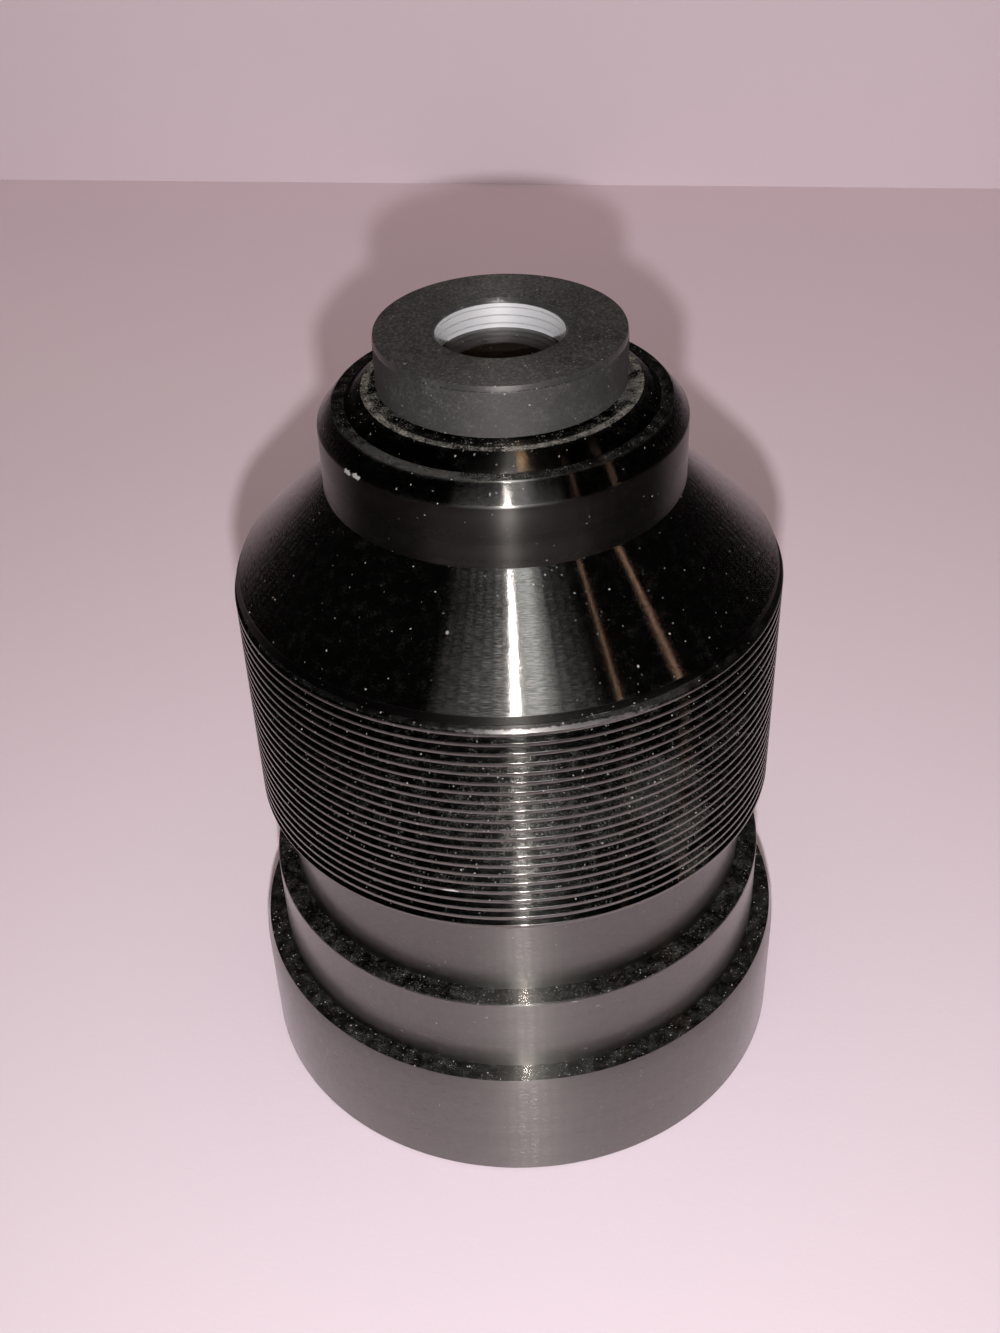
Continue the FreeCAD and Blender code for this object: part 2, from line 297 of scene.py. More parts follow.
class GroupKit:
    """Builds each shared effect once and hands it out to the finishes."""

    def __init__(self) -> None:
        """Starts with no group built."""
        self.built: dict[str, bpy.types.NodeTree] = {}

    def start(
        self, name: str, inputs: dict[str, float], outputs: list[str]
    ) -> tuple[Nodes, bpy.types.Node, bpy.types.Node]:
        """Opens a new group.

        Args:
            name: The group's name.
            inputs: Its number inputs with their defaults.
            outputs: Its number outputs.

        Returns:
            The helper for its tree, its input node and its output node.
        """
        tree = bpy.data.node_groups.new(name, "ShaderNodeTree")
        for key, value in inputs.items():
            socket = tree.interface.new_socket(key, in_out="INPUT", socket_type="NodeSocketFloat")
            socket.default_value = value
        for key in outputs:
            tree.interface.new_socket(key, in_out="OUTPUT", socket_type="NodeSocketFloat")
        kit = Nodes(tree)
        self.built[name] = tree
        return kit, kit.add("NodeGroupInput"), kit.add("NodeGroupOutput")

    def cylinder(self) -> bpy.types.NodeTree:
        """Gives the group that turns object coordinates into azimuth, radius and height.

        Returns:
            The group's tree. Azimuth is in radians, 0 towards the camera and rising to the right.
        """
        name = "cylinder_coordinates"
        if name in self.built:
            return self.built[name]
        kit, _, out = self.start(name, {}, ["Azimuth", "Radius", "Height"])
        place = kit.add("TexCoord")
        split = kit.add("SeparateXYZ")
        kit.feed(split.inputs[0], place.outputs["Object"])
        x, y, z = split.outputs
        away = kit.math("MULTIPLY", y, -1.0)
        squares = kit.math("ADD", kit.math("MULTIPLY", x, x), kit.math("MULTIPLY", y, y))
        kit.feed(out.inputs["Azimuth"], kit.math("ARCTAN2", x, away))
        kit.feed(out.inputs["Radius"], kit.math("SQRT", squares))
        kit.feed(out.inputs["Height"], z)
        return self.built[name]

    def turning(self) -> bpy.types.NodeTree:
        """Gives the group for the fine rings that a lathe tool leaves.

        Returns:
            The group's tree, with the rings as a height, as a slow change of tone and as short marks.
        """
        name = "turning_lines"
        if name in self.built:
            return self.built[name]
        kit, given, out = self.start(name, {"Scale": 4000.0, "Waver": 0.2}, ["Lines", "Bands", "Hatch"])
        where = kit.group(self.cylinder())
        along = kit.math("SUBTRACT", where.outputs["Height"], where.outputs["Radius"])
        place = kit.add("TexCoord")
        slow = kit.noise(place.outputs["Object"], 60.0, 1.0)
        wander = kit.math("MULTIPLY", slow, given.outputs["Waver"])
        fine = kit.add("TexNoise", noise_dimensions="1D")
        reach = kit.math("ADD", kit.math("MULTIPLY", along, given.outputs["Scale"]), wander)
        kit.feed(fine.inputs["W"], reach)
        kit.feed(fine.inputs["Scale"], 1.0)
        kit.feed(fine.inputs["Detail"], 3.0)
        kit.feed(fine.inputs["Roughness"], 0.7)
        broad = kit.add("TexNoise", noise_dimensions="1D")
        kit.feed(broad.inputs["W"], kit.math("MULTIPLY", reach, 0.12))
        kit.feed(broad.inputs["Scale"], 1.0)
        marks = kit.add("CombineXYZ")
        kit.feed(marks.inputs[0], kit.math("MULTIPLY", where.outputs["Azimuth"], 26.0))
        kit.feed(marks.inputs[1], kit.math("MULTIPLY", along, 5200.0))
        short = kit.add("TexNoise", noise_dimensions="2D")
        kit.feed(short.inputs["Vector"], marks.outputs[0])
        kit.feed(short.inputs["Scale"], 1.0)
        kit.feed(short.inputs["Detail"], 2.0)
        kit.feed(short.inputs["Roughness"], 0.6)
        kit.feed(out.inputs["Hatch"], kit.math("SUBTRACT", short.outputs[0], 0.5))
        kit.feed(out.inputs["Lines"], fine.outputs[0])
        kit.feed(out.inputs["Bands"], broad.outputs[0])
        return self.built[name]

    def specks(self) -> bpy.types.NodeTree:
        """Gives the group for grains of dust and lint that lie on a surface.

        Returns:
            The group's tree, with a mask of the grains and a tone for each grain.
        """
        name = "dust_specks"
        if name in self.built:
            return self.built[name]
        inputs = {"Scale": 900.0, "Amount": 0.1, "Size": 0.3}
        kit, given, out = self.start(name, inputs, ["Mask", "Tone"])
        place = kit.add("TexCoord")
        bend = kit.add("TexNoise")
        kit.feed(bend.inputs["Vector"], place.outputs["Object"])
        kit.feed(bend.inputs["Scale"], 5000.0)
        kit.feed(bend.inputs["Detail"], 1.0)
        shift = kit.add("VectorMath", operation="MULTIPLY_ADD")
        kit.feed(shift.inputs[0], bend.outputs["Color"])
        kit.feed(shift.inputs[1], (0.0003, 0.0003, 0.0003))
        kit.feed(shift.inputs[2], place.outputs["Object"])
        cells = kit.add("TexVoronoi", feature="F1")
        kit.feed(cells.inputs["Vector"], shift.outputs[0])
        kit.feed(cells.inputs["Scale"], given.outputs["Scale"])
        split = kit.add("SeparateColor")
        kit.feed(split.inputs[0], cells.outputs["Color"])
        chosen = kit.math("LESS_THAN", split.outputs[0], given.outputs["Amount"])
        reach = kit.math("MULTIPLY", given.outputs["Size"], kit.math("ADD", split.outputs[1], 0.25))
        nearness = kit.math("SUBTRACT", reach, cells.outputs["Distance"])
        shape = kit.ramp(nearness, 0.0, 0.08)
        kit.feed(out.inputs["Mask"], kit.math("MULTIPLY", shape, chosen))
        kit.feed(out.inputs["Tone"], split.outputs[2])
        return self.built[name]

    def film(self) -> bpy.types.NodeTree:
        """Gives the group for the dust that settles on what faces up.

        Returns:
            The group's tree, with a patchy mask that fades on steep faces, and a plain mask of
            the faces that aren't steep.
        """
        name = "dust_film"
        if name in self.built:
            return self.built[name]
        inputs = {"Scale": 500.0, "Cover": 0.5, "Steep": 0.3}
        kit, given, out = self.start(name, inputs, ["Mask", "Lying"])
        place = kit.add("TexCoord")
        split = kit.add("SeparateXYZ")
        kit.feed(split.inputs[0], place.outputs["Normal"])
        lying = kit.add("MapRange", interpolation_type="SMOOTHSTEP")
        kit.feed(lying.inputs["Value"], split.outputs[2])
        kit.feed(lying.inputs["From Min"], given.outputs["Steep"])
        kit.feed(lying.inputs["From Max"], kit.math("ADD", given.outputs["Steep"], 0.2))
        grain = kit.noise(place.outputs["Object"], given.outputs["Scale"], 5.0, 0.7)
        slow = kit.noise(place.outputs["Object"], kit.math("MULTIPLY", given.outputs["Scale"], 0.13), 1.0)
        patchy = kit.math("MULTIPLY", kit.math("SUBTRACT", slow, 0.5), 0.4)
        level = kit.math("SUBTRACT", kit.math("SUBTRACT", 1.0, given.outputs["Cover"]), patchy)
        spread = kit.add("MapRange", interpolation_type="SMOOTHSTEP")
        kit.feed(spread.inputs["Value"], grain)
        kit.feed(spread.inputs["From Min"], kit.math("SUBTRACT", level, 0.12))
        kit.feed(spread.inputs["From Max"], kit.math("ADD", level, 0.12))
        kit.feed(out.inputs["Mask"], kit.math("MULTIPLY", lying.outputs[0], spread.outputs[0]))
        kit.feed(out.inputs["Lying"], lying.outputs[0])
        return self.built[name]

    def tilt(self) -> bpy.types.NodeTree:
        """Gives the group for turning lines too fine to see, which lean the normal up and down.

        Returns:
            The group's tree, with the leaning normal.
        """
        name = "fine_turning"
        if name in self.built:
            return self.built[name]
        inputs = {"Lines": 90000.0, "Marks": 25.0, "Lean": 0.3, "Tail": 0.0}
        kit, given, out = self.start(name, inputs, [])
        kit.tree.interface.new_socket("Normal", in_out="OUTPUT", socket_type="NodeSocketVector")
        where = kit.group(self.cylinder())
        place = kit.add("TexCoord")
        along = kit.math("SUBTRACT", where.outputs["Height"], where.outputs["Radius"])
        marks = kit.add("CombineXYZ")
        kit.feed(marks.inputs[0], kit.math("MULTIPLY", where.outputs["Azimuth"], given.outputs["Marks"]))
        kit.feed(marks.inputs[1], kit.math("MULTIPLY", along, given.outputs["Lines"]))
        fine = kit.add("TexNoise", noise_dimensions="2D")
        kit.feed(fine.inputs["Vector"], marks.outputs[0])
        kit.feed(fine.inputs["Scale"], 1.0)
        kit.feed(fine.inputs["Detail"], 1.0)
        slope = kit.math("SUBTRACT", kit.math("MULTIPLY", fine.outputs[0], 2.0), 1.0)
        cube = kit.math("MULTIPLY", slope, kit.math("MULTIPLY", slope, slope))
        lean = kit.math(
            "ADD",
            kit.math("MULTIPLY", slope, given.outputs["Lean"]),
            kit.math("MULTIPLY", cube, given.outputs["Tail"]),
        )
        up = kit.add("VectorMath", operation="CROSS_PRODUCT")
        kit.feed(up.inputs[0], kit.around())
        kit.feed(up.inputs[1], place.outputs["Normal"])
        step = kit.add("VectorMath", operation="SCALE")
        kit.feed(step.inputs[0], up.outputs[0])
        kit.feed(step.inputs["Scale"], lean)
        total = kit.add("VectorMath", operation="ADD")
        kit.feed(total.inputs[0], place.outputs["Normal"])
        kit.feed(total.inputs[1], step.outputs[0])
        level = kit.add("VectorMath", operation="NORMALIZE")
        kit.feed(level.inputs[0], total.outputs[0])
        kit.feed(out.inputs["Normal"], level.outputs[0])
        return self.built[name]

    def patch(self) -> bpy.types.NodeTree:
        """Gives the group for one spot on the turned surface, found by azimuth and height.

        Returns:
            The group's tree, with one soft-edged, ragged mask.
        """
        name = "patch_at"
        if name in self.built:
            return self.built[name]
        inputs = {
            "Azimuth": 0.0, "Height": 0.0, "Half Turn": 0.05, "Half Height": 0.001,
            "Ragged": 0.3, "Grain": 1500.0, "Edge": 0.2,
        }
        kit, given, out = self.start(name, inputs, ["Mask"])
        where = kit.group(self.cylinder())
        place = kit.add("TexCoord")
        across = kit.math("SUBTRACT", where.outputs["Azimuth"], given.outputs["Azimuth"])
        up = kit.math("SUBTRACT", where.outputs["Height"], given.outputs["Height"])
        across = kit.math("DIVIDE", across, given.outputs["Half Turn"])
        up = kit.math("DIVIDE", up, given.outputs["Half Height"])
        squares = kit.math("ADD", kit.math("MULTIPLY", across, across), kit.math("MULTIPLY", up, up))
        far = kit.math("SQRT", squares)
        grain = kit.noise(place.outputs["Object"], given.outputs["Grain"])
        worn = kit.math("MULTIPLY", kit.math("SUBTRACT", grain, 0.5), given.outputs["Ragged"])
        depth = kit.math("SUBTRACT", 1.0, kit.math("ADD", far, worn))
        kit.feed(out.inputs["Mask"], kit.math("DIVIDE", depth, given.outputs["Edge"], clamp=True))
        return self.built[name]


GROUPS = GroupKit()


# Finishes


@dataclass(frozen=True)
class Dust:
    """How dusty a finish is.

    Attributes:
        colour: The dust's colour.
        grains: Share of the cells that hold a grain.
        ledge_grains: The same on what faces up.
        grain_scale: Cells of grains per metre.
        grain_size: Largest grain, as a share of a cell.
        flecks: Share of the larger cells that hold a fleck of lint.
        clumps: How much of the surface the clumped dust covers.
        clump_strength: How much of the clumps' colour shows on walls.
        ledge_clumps: The same on level faces.
        groove_clumps: The same in a thread's grooves.
        inner: Radius inside which a level face holds no film.
        film: How much of an upward face the settled film covers.
        film_scale: Patches of film per metre.
        film_strength: How much of the film's colour shows.
        steep: The upward lean of a face at which the film starts to stay.
    """

    colour: Colour = (0.60, 0.56, 0.48)
    grains: float = 0.018
    ledge_grains: float = 0.14
    grain_scale: float = 3600.0
    grain_size: float = 0.36
    flecks: float = 0.004
    clumps: float = 0.0
    clump_strength: float = 0.03
    ledge_clumps: float = 0.28
    groove_clumps: float = 0.6
    inner: float = 0.0
    film: float = 0.45
    film_scale: float = 5000.0
    film_strength: float = 0.10
    steep: float = 0.75


@dataclass(frozen=True)
class Patch:
    """A place on the turned surface.

    Attributes:
        azimuth: Azimuth of its middle, in degrees.
        height: Height of its middle.
        turn: Half its reach round the axis, in degrees.
        reach: Half its height.
    """

    azimuth: float
    height: float
    turn: float
    reach: float

    def mask(self, kit: Nodes, ragged: float, grain: float, edge: float) -> bpy.types.NodeSocket:
        """Marks the place.

        Args:
            kit: The material's nodes.
            ragged: How broken its outline is.
            grain: Scale of the breaks in its outline, per metre.
            edge: How soft its outline is.

        Returns:
            A mask that is 1 in its middle.
        """
        return kit.group(
            GROUPS.patch(),
            Azimuth=math.radians(self.azimuth),
            Height=self.height,
            Half_Turn=math.radians(self.turn),
            Half_Height=self.reach,
            Ragged=ragged,
            Grain=grain,
            Edge=edge,
        ).outputs["Mask"]


@dataclass(frozen=True)
class Spot(Patch):
    """A bare or dusty spot.

    Attributes:
        bare: Whether it is bare metal, and otherwise it is dust.
        ragged: How broken its outline is.
        grain: Scale of the breaks in its outline, per metre.
        strength: How much of it shows.
        edge: How soft its outline is.
    """

    bare: bool = True
    ragged: float = 0.6
    grain: float = 1500.0
    strength: float = 1.0
    edge: float = 0.4


@dataclass(frozen=True)
class DustZone(Patch):
    """A place where dust lies thicker.

    Attributes:
        share: How much more of it the dust covers in its middle.
        ragged: How broken its outline is.
        grain: Scale of the breaks in its outline, per metre.
        edge: How soft its outline is.
    """

    share: float
    ragged: float = 0.8
    grain: float = 250.0
    edge: float = 0.9


@dataclass(frozen=True)
class Band:
    """How a turned surface shines between two heights.

    Attributes:
        top: Height that the band reaches up to.
        level: Its colour, as a share of the finish's colour.
        roughness: Its mean roughness.
        lean: How far the finest turning lines lean the surface.
        tail: How far the steepest few of them lean it.
        coat: Weight of the clear anodic layer's own mirror over it.
        hatch: How much short turning marks change the shine.
    """

    top: float
    level: float
    roughness: float
    lean: float
    tail: float = 0.0
    coat: float = 0.0
    hatch: float = 0.0


@dataclass(frozen=True)
class Grooves:
    """Where a thread's grooves are and how they shine, with painted shade in them.

    Attributes:
        foot: Height of the thread's foot.
        top: Height of its head.
        crest: Radius of its crests.
        shine: How its flanks and roots shine; its low level is painted shade in them.
    """

    foot: float
    top: float
    crest: float
    shine: Band


@dataclass(frozen=True)
class TurnedMetal:
    """A blackened or bare turned metal finish.

    Attributes:
        name: The material's name.
        colour: Its colour where it is clean.
        metallic: How much of it mirrors as metal.
        bands: How it shines, from the lowest band up.
        flats: How its level faces shine, from the lowest up. Empty where they are like the rest.
        grooves: The thread's grooves in it, or None.
        anisotropy: How far the turning lines draw a highlight out.
        coat_roughness: Roughness of the clear layer.
        line_scale: Turning lines per metre.
        line_depth: Depth of the turning lines.
        line_tone: How much the turning lines change the roughness.
        waver: How far the turning lines wander off their heights.
        dust: How dusty it is, or None.
        spots: Bare or dusty marks at their own places.
        zones: Places where the dust lies thicker.
        bare_colour: The metal under the black.
    """

    name: str
    colour: Colour
    metallic: float
    bands: tuple[Band, ...]
    anisotropy: float
    flats: tuple[Band, ...] = ()
    grooves: Grooves | None = None
    coat_roughness: float = 0.25
    line_scale: float = 4000.0
    line_depth: float = 0.0000015
    line_tone: float = 0.08
    waver: float = 0.0
    dust: Dust | None = None
    spots: tuple[Spot, ...] = ()
    zones: tuple[DustZone, ...] = ()
    bare_colour: Colour = (0.8, 0.76, 0.72)

    def build(self) -> bpy.types.Material:
        """Builds the material.

        Returns:
            The material, with a Principled shader fed by the shared groups.
        """
        material, kit, shader = new_surface(self.name)
        lines = kit.group(GROUPS.turning(), Scale=self.line_scale, Waver=self.waver)
        tone = kit.math("SUBTRACT", lines.outputs["Bands"], 0.5)
        level, rough, lean, tail, coat, hatch = self.lay_bands(kit)
        hatch = kit.math("MULTIPLY", lines.outputs["Hatch"], hatch)
        streaky = kit.math("ADD", 1.0, kit.math("ADD", hatch, kit.math("MULTIPLY", tone, 0.3)))
        level = kit.math("MULTIPLY", level, streaky)
        colour: object = kit.mix(level, grey(0.0), self.colour)
        rough = kit.math("ADD", rough, kit.math("MULTIPLY", tone, self.line_tone))
        metallic: object = self.metallic
        colour, rough, metallic = self.lay_dust(kit, colour, rough, metallic)
        colour, rough, metallic = self.lay_spots(kit, colour, rough, metallic)
        kit.feed(shader.inputs["Base Color"], colour)
        kit.feed(shader.inputs["Roughness"], rough)
        kit.feed(shader.inputs["Metallic"], metallic)
        bump = kit.add("Bump")
        kit.feed(bump.inputs["Strength"], 1.0)
        kit.feed(bump.inputs["Distance"], self.line_depth)
        kit.feed(bump.inputs["Height"], lines.outputs["Lines"])
        leaning = kit.group(GROUPS.tilt(), Lean=lean, Tail=tail)
        kit.feed(bump.inputs["Normal"], leaning.outputs["Normal"])
        kit.feed(shader.inputs["Normal"], bump.outputs[0])
        kit.feed(shader.inputs["Coat Weight"], coat)
        shader.inputs["Coat Roughness"].default_value = self.coat_roughness
        if self.anisotropy > 0:
            self.lay_grain(kit, shader)
        return material

    def lay_bands(self, kit: Nodes) -> list:
        """Works out how the surface shines at each height.

        Args:
            kit: The material's nodes.

        Returns:
            The colour's level, the roughness, the lean, the tail, the coat and the hatch.
        """
        names = ("level", "roughness", "lean", "tail", "coat", "hatch")
        values: list = [getattr(self.bands[0], name) for name in names]
        height = kit.group(GROUPS.cylinder()).outputs["Height"]
        for below, band in zip(self.bands, self.bands[1:]):
            above = kit.ramp(height, below.top - BAND_EDGE, below.top + BAND_EDGE)
            values = [kit.blend(above, value, getattr(band, name)) for value, name in zip(values, names)]
        # Painted shade: the thread's flanks and roots take the grooves' band, whose low level darkens
        # them.
        if self.grooves is not None:
            painted_groove_shade = self.in_grooves(kit)
            shine = self.grooves.shine
            values = [kit.blend(painted_groove_shade, value, getattr(shine, name)) for value, name in zip(values, names)]
        lying: object = kit.group(GROUPS.film(), Steep=LEVEL_LEAN).outputs["Lying"]
        foot = 0.0
        for flat in self.flats:
            inside = kit.math("MULTIPLY", lying, kit.ramp(height, foot - FLAT_EDGE, foot))
            values = [kit.blend(inside, value, getattr(flat, name)) for value, name in zip(values, names)]
            foot = flat.top
        return values

    def in_grooves(self, kit: Nodes) -> bpy.types.NodeSocket:
        """Finds the thread's grooves.

        Args:
            kit: The material's nodes.

        Returns:
            A mask that is 1 on their flanks and roots.
        """
        grooves = self.grooves
        where = kit.group(GROUPS.cylinder())
        height = where.outputs["Height"]
        over = kit.ramp(height, grooves.foot - GROOVE_EDGE, grooves.foot + GROOVE_EDGE)
        under = kit.ramp(height, grooves.top + GROOVE_EDGE, grooves.top - GROOVE_EDGE)
        deep = kit.ramp(where.outputs["Radius"], grooves.crest - CREST_EDGE, grooves.crest - FLANK_EDGE)
        return kit.math("MULTIPLY", deep, kit.math("MULTIPLY", over, under))

    def lay_grain(self, kit: Nodes, shader: bpy.types.Node) -> None:
        """Points the shader's grain round the axis, as a lathe leaves it.

        Args:
            kit: The material's nodes.
            shader: The Principled shader.
        """
        shader.inputs["Anisotropic"].default_value = self.anisotropy
        shader.inputs["Anisotropic Rotation"].default_value = GRAIN_TURN
        kit.feed(shader.inputs["Tangent"], kit.around())

    def lay_dust(self, kit: Nodes, colour: object, rough: object, metallic: object) -> tuple:
        """Lays settled dust and grains over the finish.

        Args:
            kit: The material's nodes.
            colour: The colour so far.
            rough: The roughness so far.
            metallic: The metallic value so far.

        Returns:
            The three with the dust on them.
        """
        if self.dust is None:
            return colour, rough, metallic
        dust = self.dust
        film = kit.group(GROUPS.film(), Scale=dust.film_scale, Cover=dust.film, Steep=dust.steep)
        lying = film.outputs["Lying"]
        share = kit.blend(lying, dust.grains, dust.ledge_grains)
        cover: object = dust.clumps
        for zone in self.zones:
            inside = zone.mask(kit, zone.ragged, zone.grain, zone.edge)
            more = kit.math("MULTIPLY", inside, zone.share)
            share = kit.math("ADD", share, kit.math("MULTIPLY", more, GRAIN_SHARE))
            cover = kit.math("ADD", cover, more)
        fine = kit.group(GROUPS.specks(), Scale=dust.grain_scale, Amount=share, Size=dust.grain_size)
        large = kit.group(GROUPS.specks(), Scale=FLECK_SCALE, Amount=dust.flecks, Size=FLECK_SIZE)
        grains = kit.math("MAXIMUM", fine.outputs["Mask"], large.outputs["Mask"])
        clumps = kit.group(GROUPS.film(), Scale=dust.film_scale, Cover=cover, Steep=ANY_LEAN)
        radius = kit.group(GROUPS.cylinder()).outputs["Radius"]
        held: object = kit.blend(lying, dust.clump_strength, dust.ledge_clumps)
        if self.grooves is not None:
            held = kit.blend(self.in_grooves(kit), held, dust.groove_clumps)
        clumped = kit.math("MULTIPLY", clumps.outputs["Mask"], held)
        settled = kit.math("MULTIPLY", film.outputs["Mask"], dust.film_strength)
        settled = kit.math("MULTIPLY", settled, kit.ramp(radius, dust.inner, dust.inner + 0.3 * MM))
        settled = kit.math("MAXIMUM", settled, clumped)
        mask = kit.math("MAXIMUM", settled, kit.math("MULTIPLY", grains, GRAIN_SHOW))
        tone = kit.math("POWER", fine.outputs["Tone"], 2.0)
        shade = kit.mix(tone, tuple(DARK_GRAIN * c for c in dust.colour), dust.colour)
        colour = kit.mix(mask, colour, shade)
        rough = kit.blend(mask, rough, DUST_ROUGHNESS)
        metallic = kit.blend(kit.math("MULTIPLY", mask, DUST_HIDES, clamp=True), metallic, 0.0)
        return colour, rough, metallic

    def lay_spots(self, kit: Nodes, colour: object, rough: object, metallic: object) -> tuple:
        """Lays the marks at their own places over the finish.

        Args:
            kit: The material's nodes.
            colour: The colour so far.
            rough: The roughness so far.
            metallic: The metallic value so far.

        Returns:
            The three with the marks on them.
        """
        for spot in self.spots:
            mask = spot.mask(kit, spot.ragged, spot.grain, spot.edge)
            mask = kit.math("MULTIPLY", mask, spot.strength)
            colour = kit.mix(mask, colour, self.bare_colour if spot.bare else MARK_DUST)
            rough = kit.blend(mask, rough, MARK_ROUGHNESS if spot.bare else DUST_ROUGHNESS)
            metallic = kit.blend(mask, metallic, MARK_METALLIC if spot.bare else 0.0)
        return colour, rough, metallic


@dataclass(frozen=True)
class Glass:
    """An optical glass, with dust on it where it is in the open.

    Attributes:
        name: The material's name.
        colour: The glass's tint.
        index: Its refractive index.
        transmission: How much light goes through it.
        coat: Weight of the coating's own mirror layer.
        coat_tint: The coating's colour.
        grains: Share of the cells that hold a grain of dust.
        mirror: Strength of the bare glass's own mirror, 0.5 for plain glass.
    """

    name: str
    colour: Colour = (0.97, 0.98, 0.97)
    index: float = 1.6
    transmission: float = 1.0
    coat: float = 0.0
    coat_tint: Colour = (1.0, 1.0, 1.0)
    grains: float = 0.0
    mirror: float = 0.5

    def build(self) -> bpy.types.Material:
        """Builds the material.

        Returns:
            The material, with a Principled shader set for glass.
        """
        material, kit, shader = new_surface(self.name)
        shader.inputs["IOR"].default_value = self.index
        shader.inputs["Specular IOR Level"].default_value = self.mirror
        shader.inputs["Metallic"].default_value = 0.0
        shader.inputs["Transmission Weight"].default_value = self.transmission
        shader.inputs["Coat Weight"].default_value = self.coat
        shader.inputs["Coat Roughness"].default_value = 0.02
        shader.inputs["Coat Tint"].default_value = (*self.coat_tint, 1.0)
        place = kit.add("TexCoord")
        haze = kit.noise(place.outputs["Object"], 400.0, 3.0)
        dull = tuple(0.85 * c for c in self.colour)
        grains = kit.group(GROUPS.specks(), Scale=1800.0, Amount=self.grains, Size=0.3)
        mask = grains.outputs["Mask"]
        colour = kit.mix(haze, dull, self.colour)
        kit.feed(shader.inputs["Base Color"], kit.mix(mask, colour, (0.5, 0.47, 0.42)))
        smooth = kit.math("MULTIPLY", haze, 0.03)
        kit.feed(shader.inputs["Roughness"], kit.blend(mask, smooth, 0.8))
        return material


@dataclass(frozen=True)
class StudioPaint:
    """The plain pale finish of the floor and backdrop.

    Attributes:
        name: The material's name.
        colour: Its colour.
        mottle: How much it varies.
        roughness: Its roughness.
    """

    name: str
    colour: Colour
    mottle: float = 0.02
    roughness: float = 0.7

    def build(self) -> bpy.types.Material:
        """Builds the material.

        Returns:
            The material, a matt paint with a faint mottle and fine grain.
        """
        material, kit, shader = new_surface(self.name)
        place = kit.add("TexCoord")
        cloud = kit.noise(place.outputs["Object"], 9.0, 4.0)
        grain = kit.noise(place.outputs["Object"], 1400.0, 2.0)
        low = tuple((1.0 - self.mottle) * c for c in self.colour)
        high = tuple(min(1.0, (1.0 + self.mottle) * c) for c in self.colour)
        kit.feed(shader.inputs["Base Color"], kit.mix(cloud, low, high))
        shader.inputs["Roughness"].default_value = self.roughness
        shader.inputs["Specular IOR Level"].default_value = 0.3
        bump = kit.add("Bump")
        kit.feed(bump.inputs["Strength"], 0.25)
        kit.feed(bump.inputs["Distance"], 0.0001)
        kit.feed(bump.inputs["Height"], grain)
        kit.feed(shader.inputs["Normal"], bump.outputs[0])
        return material


# Turned meshes


@dataclass
class Corner:
    """A corner of a turned outline.

    Attributes:
        radius: Its distance from the axis.
        height: Its height.
        broken: Width of the small broken edge on it, 0 for a sharp corner.
    """

    radius: float
    height: float
    broken: float = 0.0


@dataclass
class Profile:
    """An outline in radius and height that a mesh is turned from.

    Attributes:
        corners: Its corners in order.
        closed: Whether the last corner joins the first.
    """

    corners: list[Corner] = field(default_factory=list)
    closed: bool = True

    def to(self, radius: float, height: float, broken: float = 0.0) -> "Profile":
        """Adds a corner.

        Args:
            radius: Its distance from the axis.
            height: Its height.
            broken: Width of the small broken edge on it.

        Returns:
            The profile itself, so that calls follow each other.
        """
        self.corners.append(Corner(radius, height, broken))
        return self

    def dome(self, radius: float, height: float, curve: float, steps: int = 24) -> "Profile":
        """Adds a spherical surface from the last corner to the next.

        Args:
            radius: Distance of the next corner from the axis.
            height: Its height.
            curve: Radius of the sphere. It is positive where the surface bulges upwards.
            steps: How many straight runs stand for the curve.

        Returns:
            The profile itself.
        """
        start = self.corners[-1].radius
        side = 1.0 if curve > 0 else -1.0
        ball = abs(curve)
        pole = height + side * sag(ball, radius)
        for step in range(1, steps + 1):
            reach = start + (radius - start) * step / steps
            self.corners.append(Corner(reach, pole - side * sag(ball, reach)))
        return self

    def wire(self, mesh: bmesh.types.BMesh) -> None:
        """Draws the outline in a mesh and breaks its corners.

        Args:
            mesh: The mesh to draw in, empty so far.
        """
        verts = [mesh.verts.new((c.radius, 0.0, c.height)) for c in self.corners]
        for first, second in zip(verts, verts[1:]):
            mesh.edges.new((first, second))
        if self.closed:
            mesh.edges.new((verts[-1], verts[0]))
        widths = {c.broken for c in self.corners if c.broken > 0}
        marked = {w: [v for v, c in zip(verts, self.corners) if c.broken == w] for w in widths}
        for width in sorted(marked):
            bmesh.ops.bevel(
                mesh,
                geom=marked[width],
                offset=width,
                offset_type="OFFSET",
                segments=2,
                profile=0.5,
                affect="VERTICES",
                material=-1,
            )

    def turned(self) -> bmesh.types.BMesh:
        """Turns the outline once round the axis.

        Returns:
            A new mesh, closed where the outline is closed or ends on the axis.
        """
        mesh = bmesh.new()
        self.wire(mesh)
        bmesh.ops.spin(
            mesh,
            geom=mesh.verts[:] + mesh.edges[:],
            cent=ORIGIN,
            axis=AXIS,
            dvec=ORIGIN,
            angle=2.0 * math.pi,
            steps=COLUMNS,
            use_merge=True,
        )
        bmesh.ops.remove_doubles(mesh, verts=mesh.verts, dist=MERGE)
        return mesh


def sag(ball: float, reach: float) -> float:
    """Works out how far a sphere falls from its pole.

    Args:
        ball: Radius of the sphere.
        reach: Distance from the axis.

    Returns:
        The fall.
    """
    return ball - math.sqrt(ball * ball - reach * reach)


def linked(
    mesh: bmesh.types.BMesh, name: str, material: bpy.types.Material | None = None
) -> bpy.types.Object:
    """Makes an object of a mesh and links it to the scene.

    Args:
        mesh: The mesh. It is freed.
        name: The object's name.
        material: Its finish, or None.

    Returns:
        The object, at the origin.
    """
    data = bpy.data.meshes.new(name)
    mesh.to_mesh(data)
    mesh.free()
    if material is not None:
        data.materials.append(material)
    made = bpy.data.objects.new(name, data)
    bpy.context.scene.collection.objects.link(made)
    return made


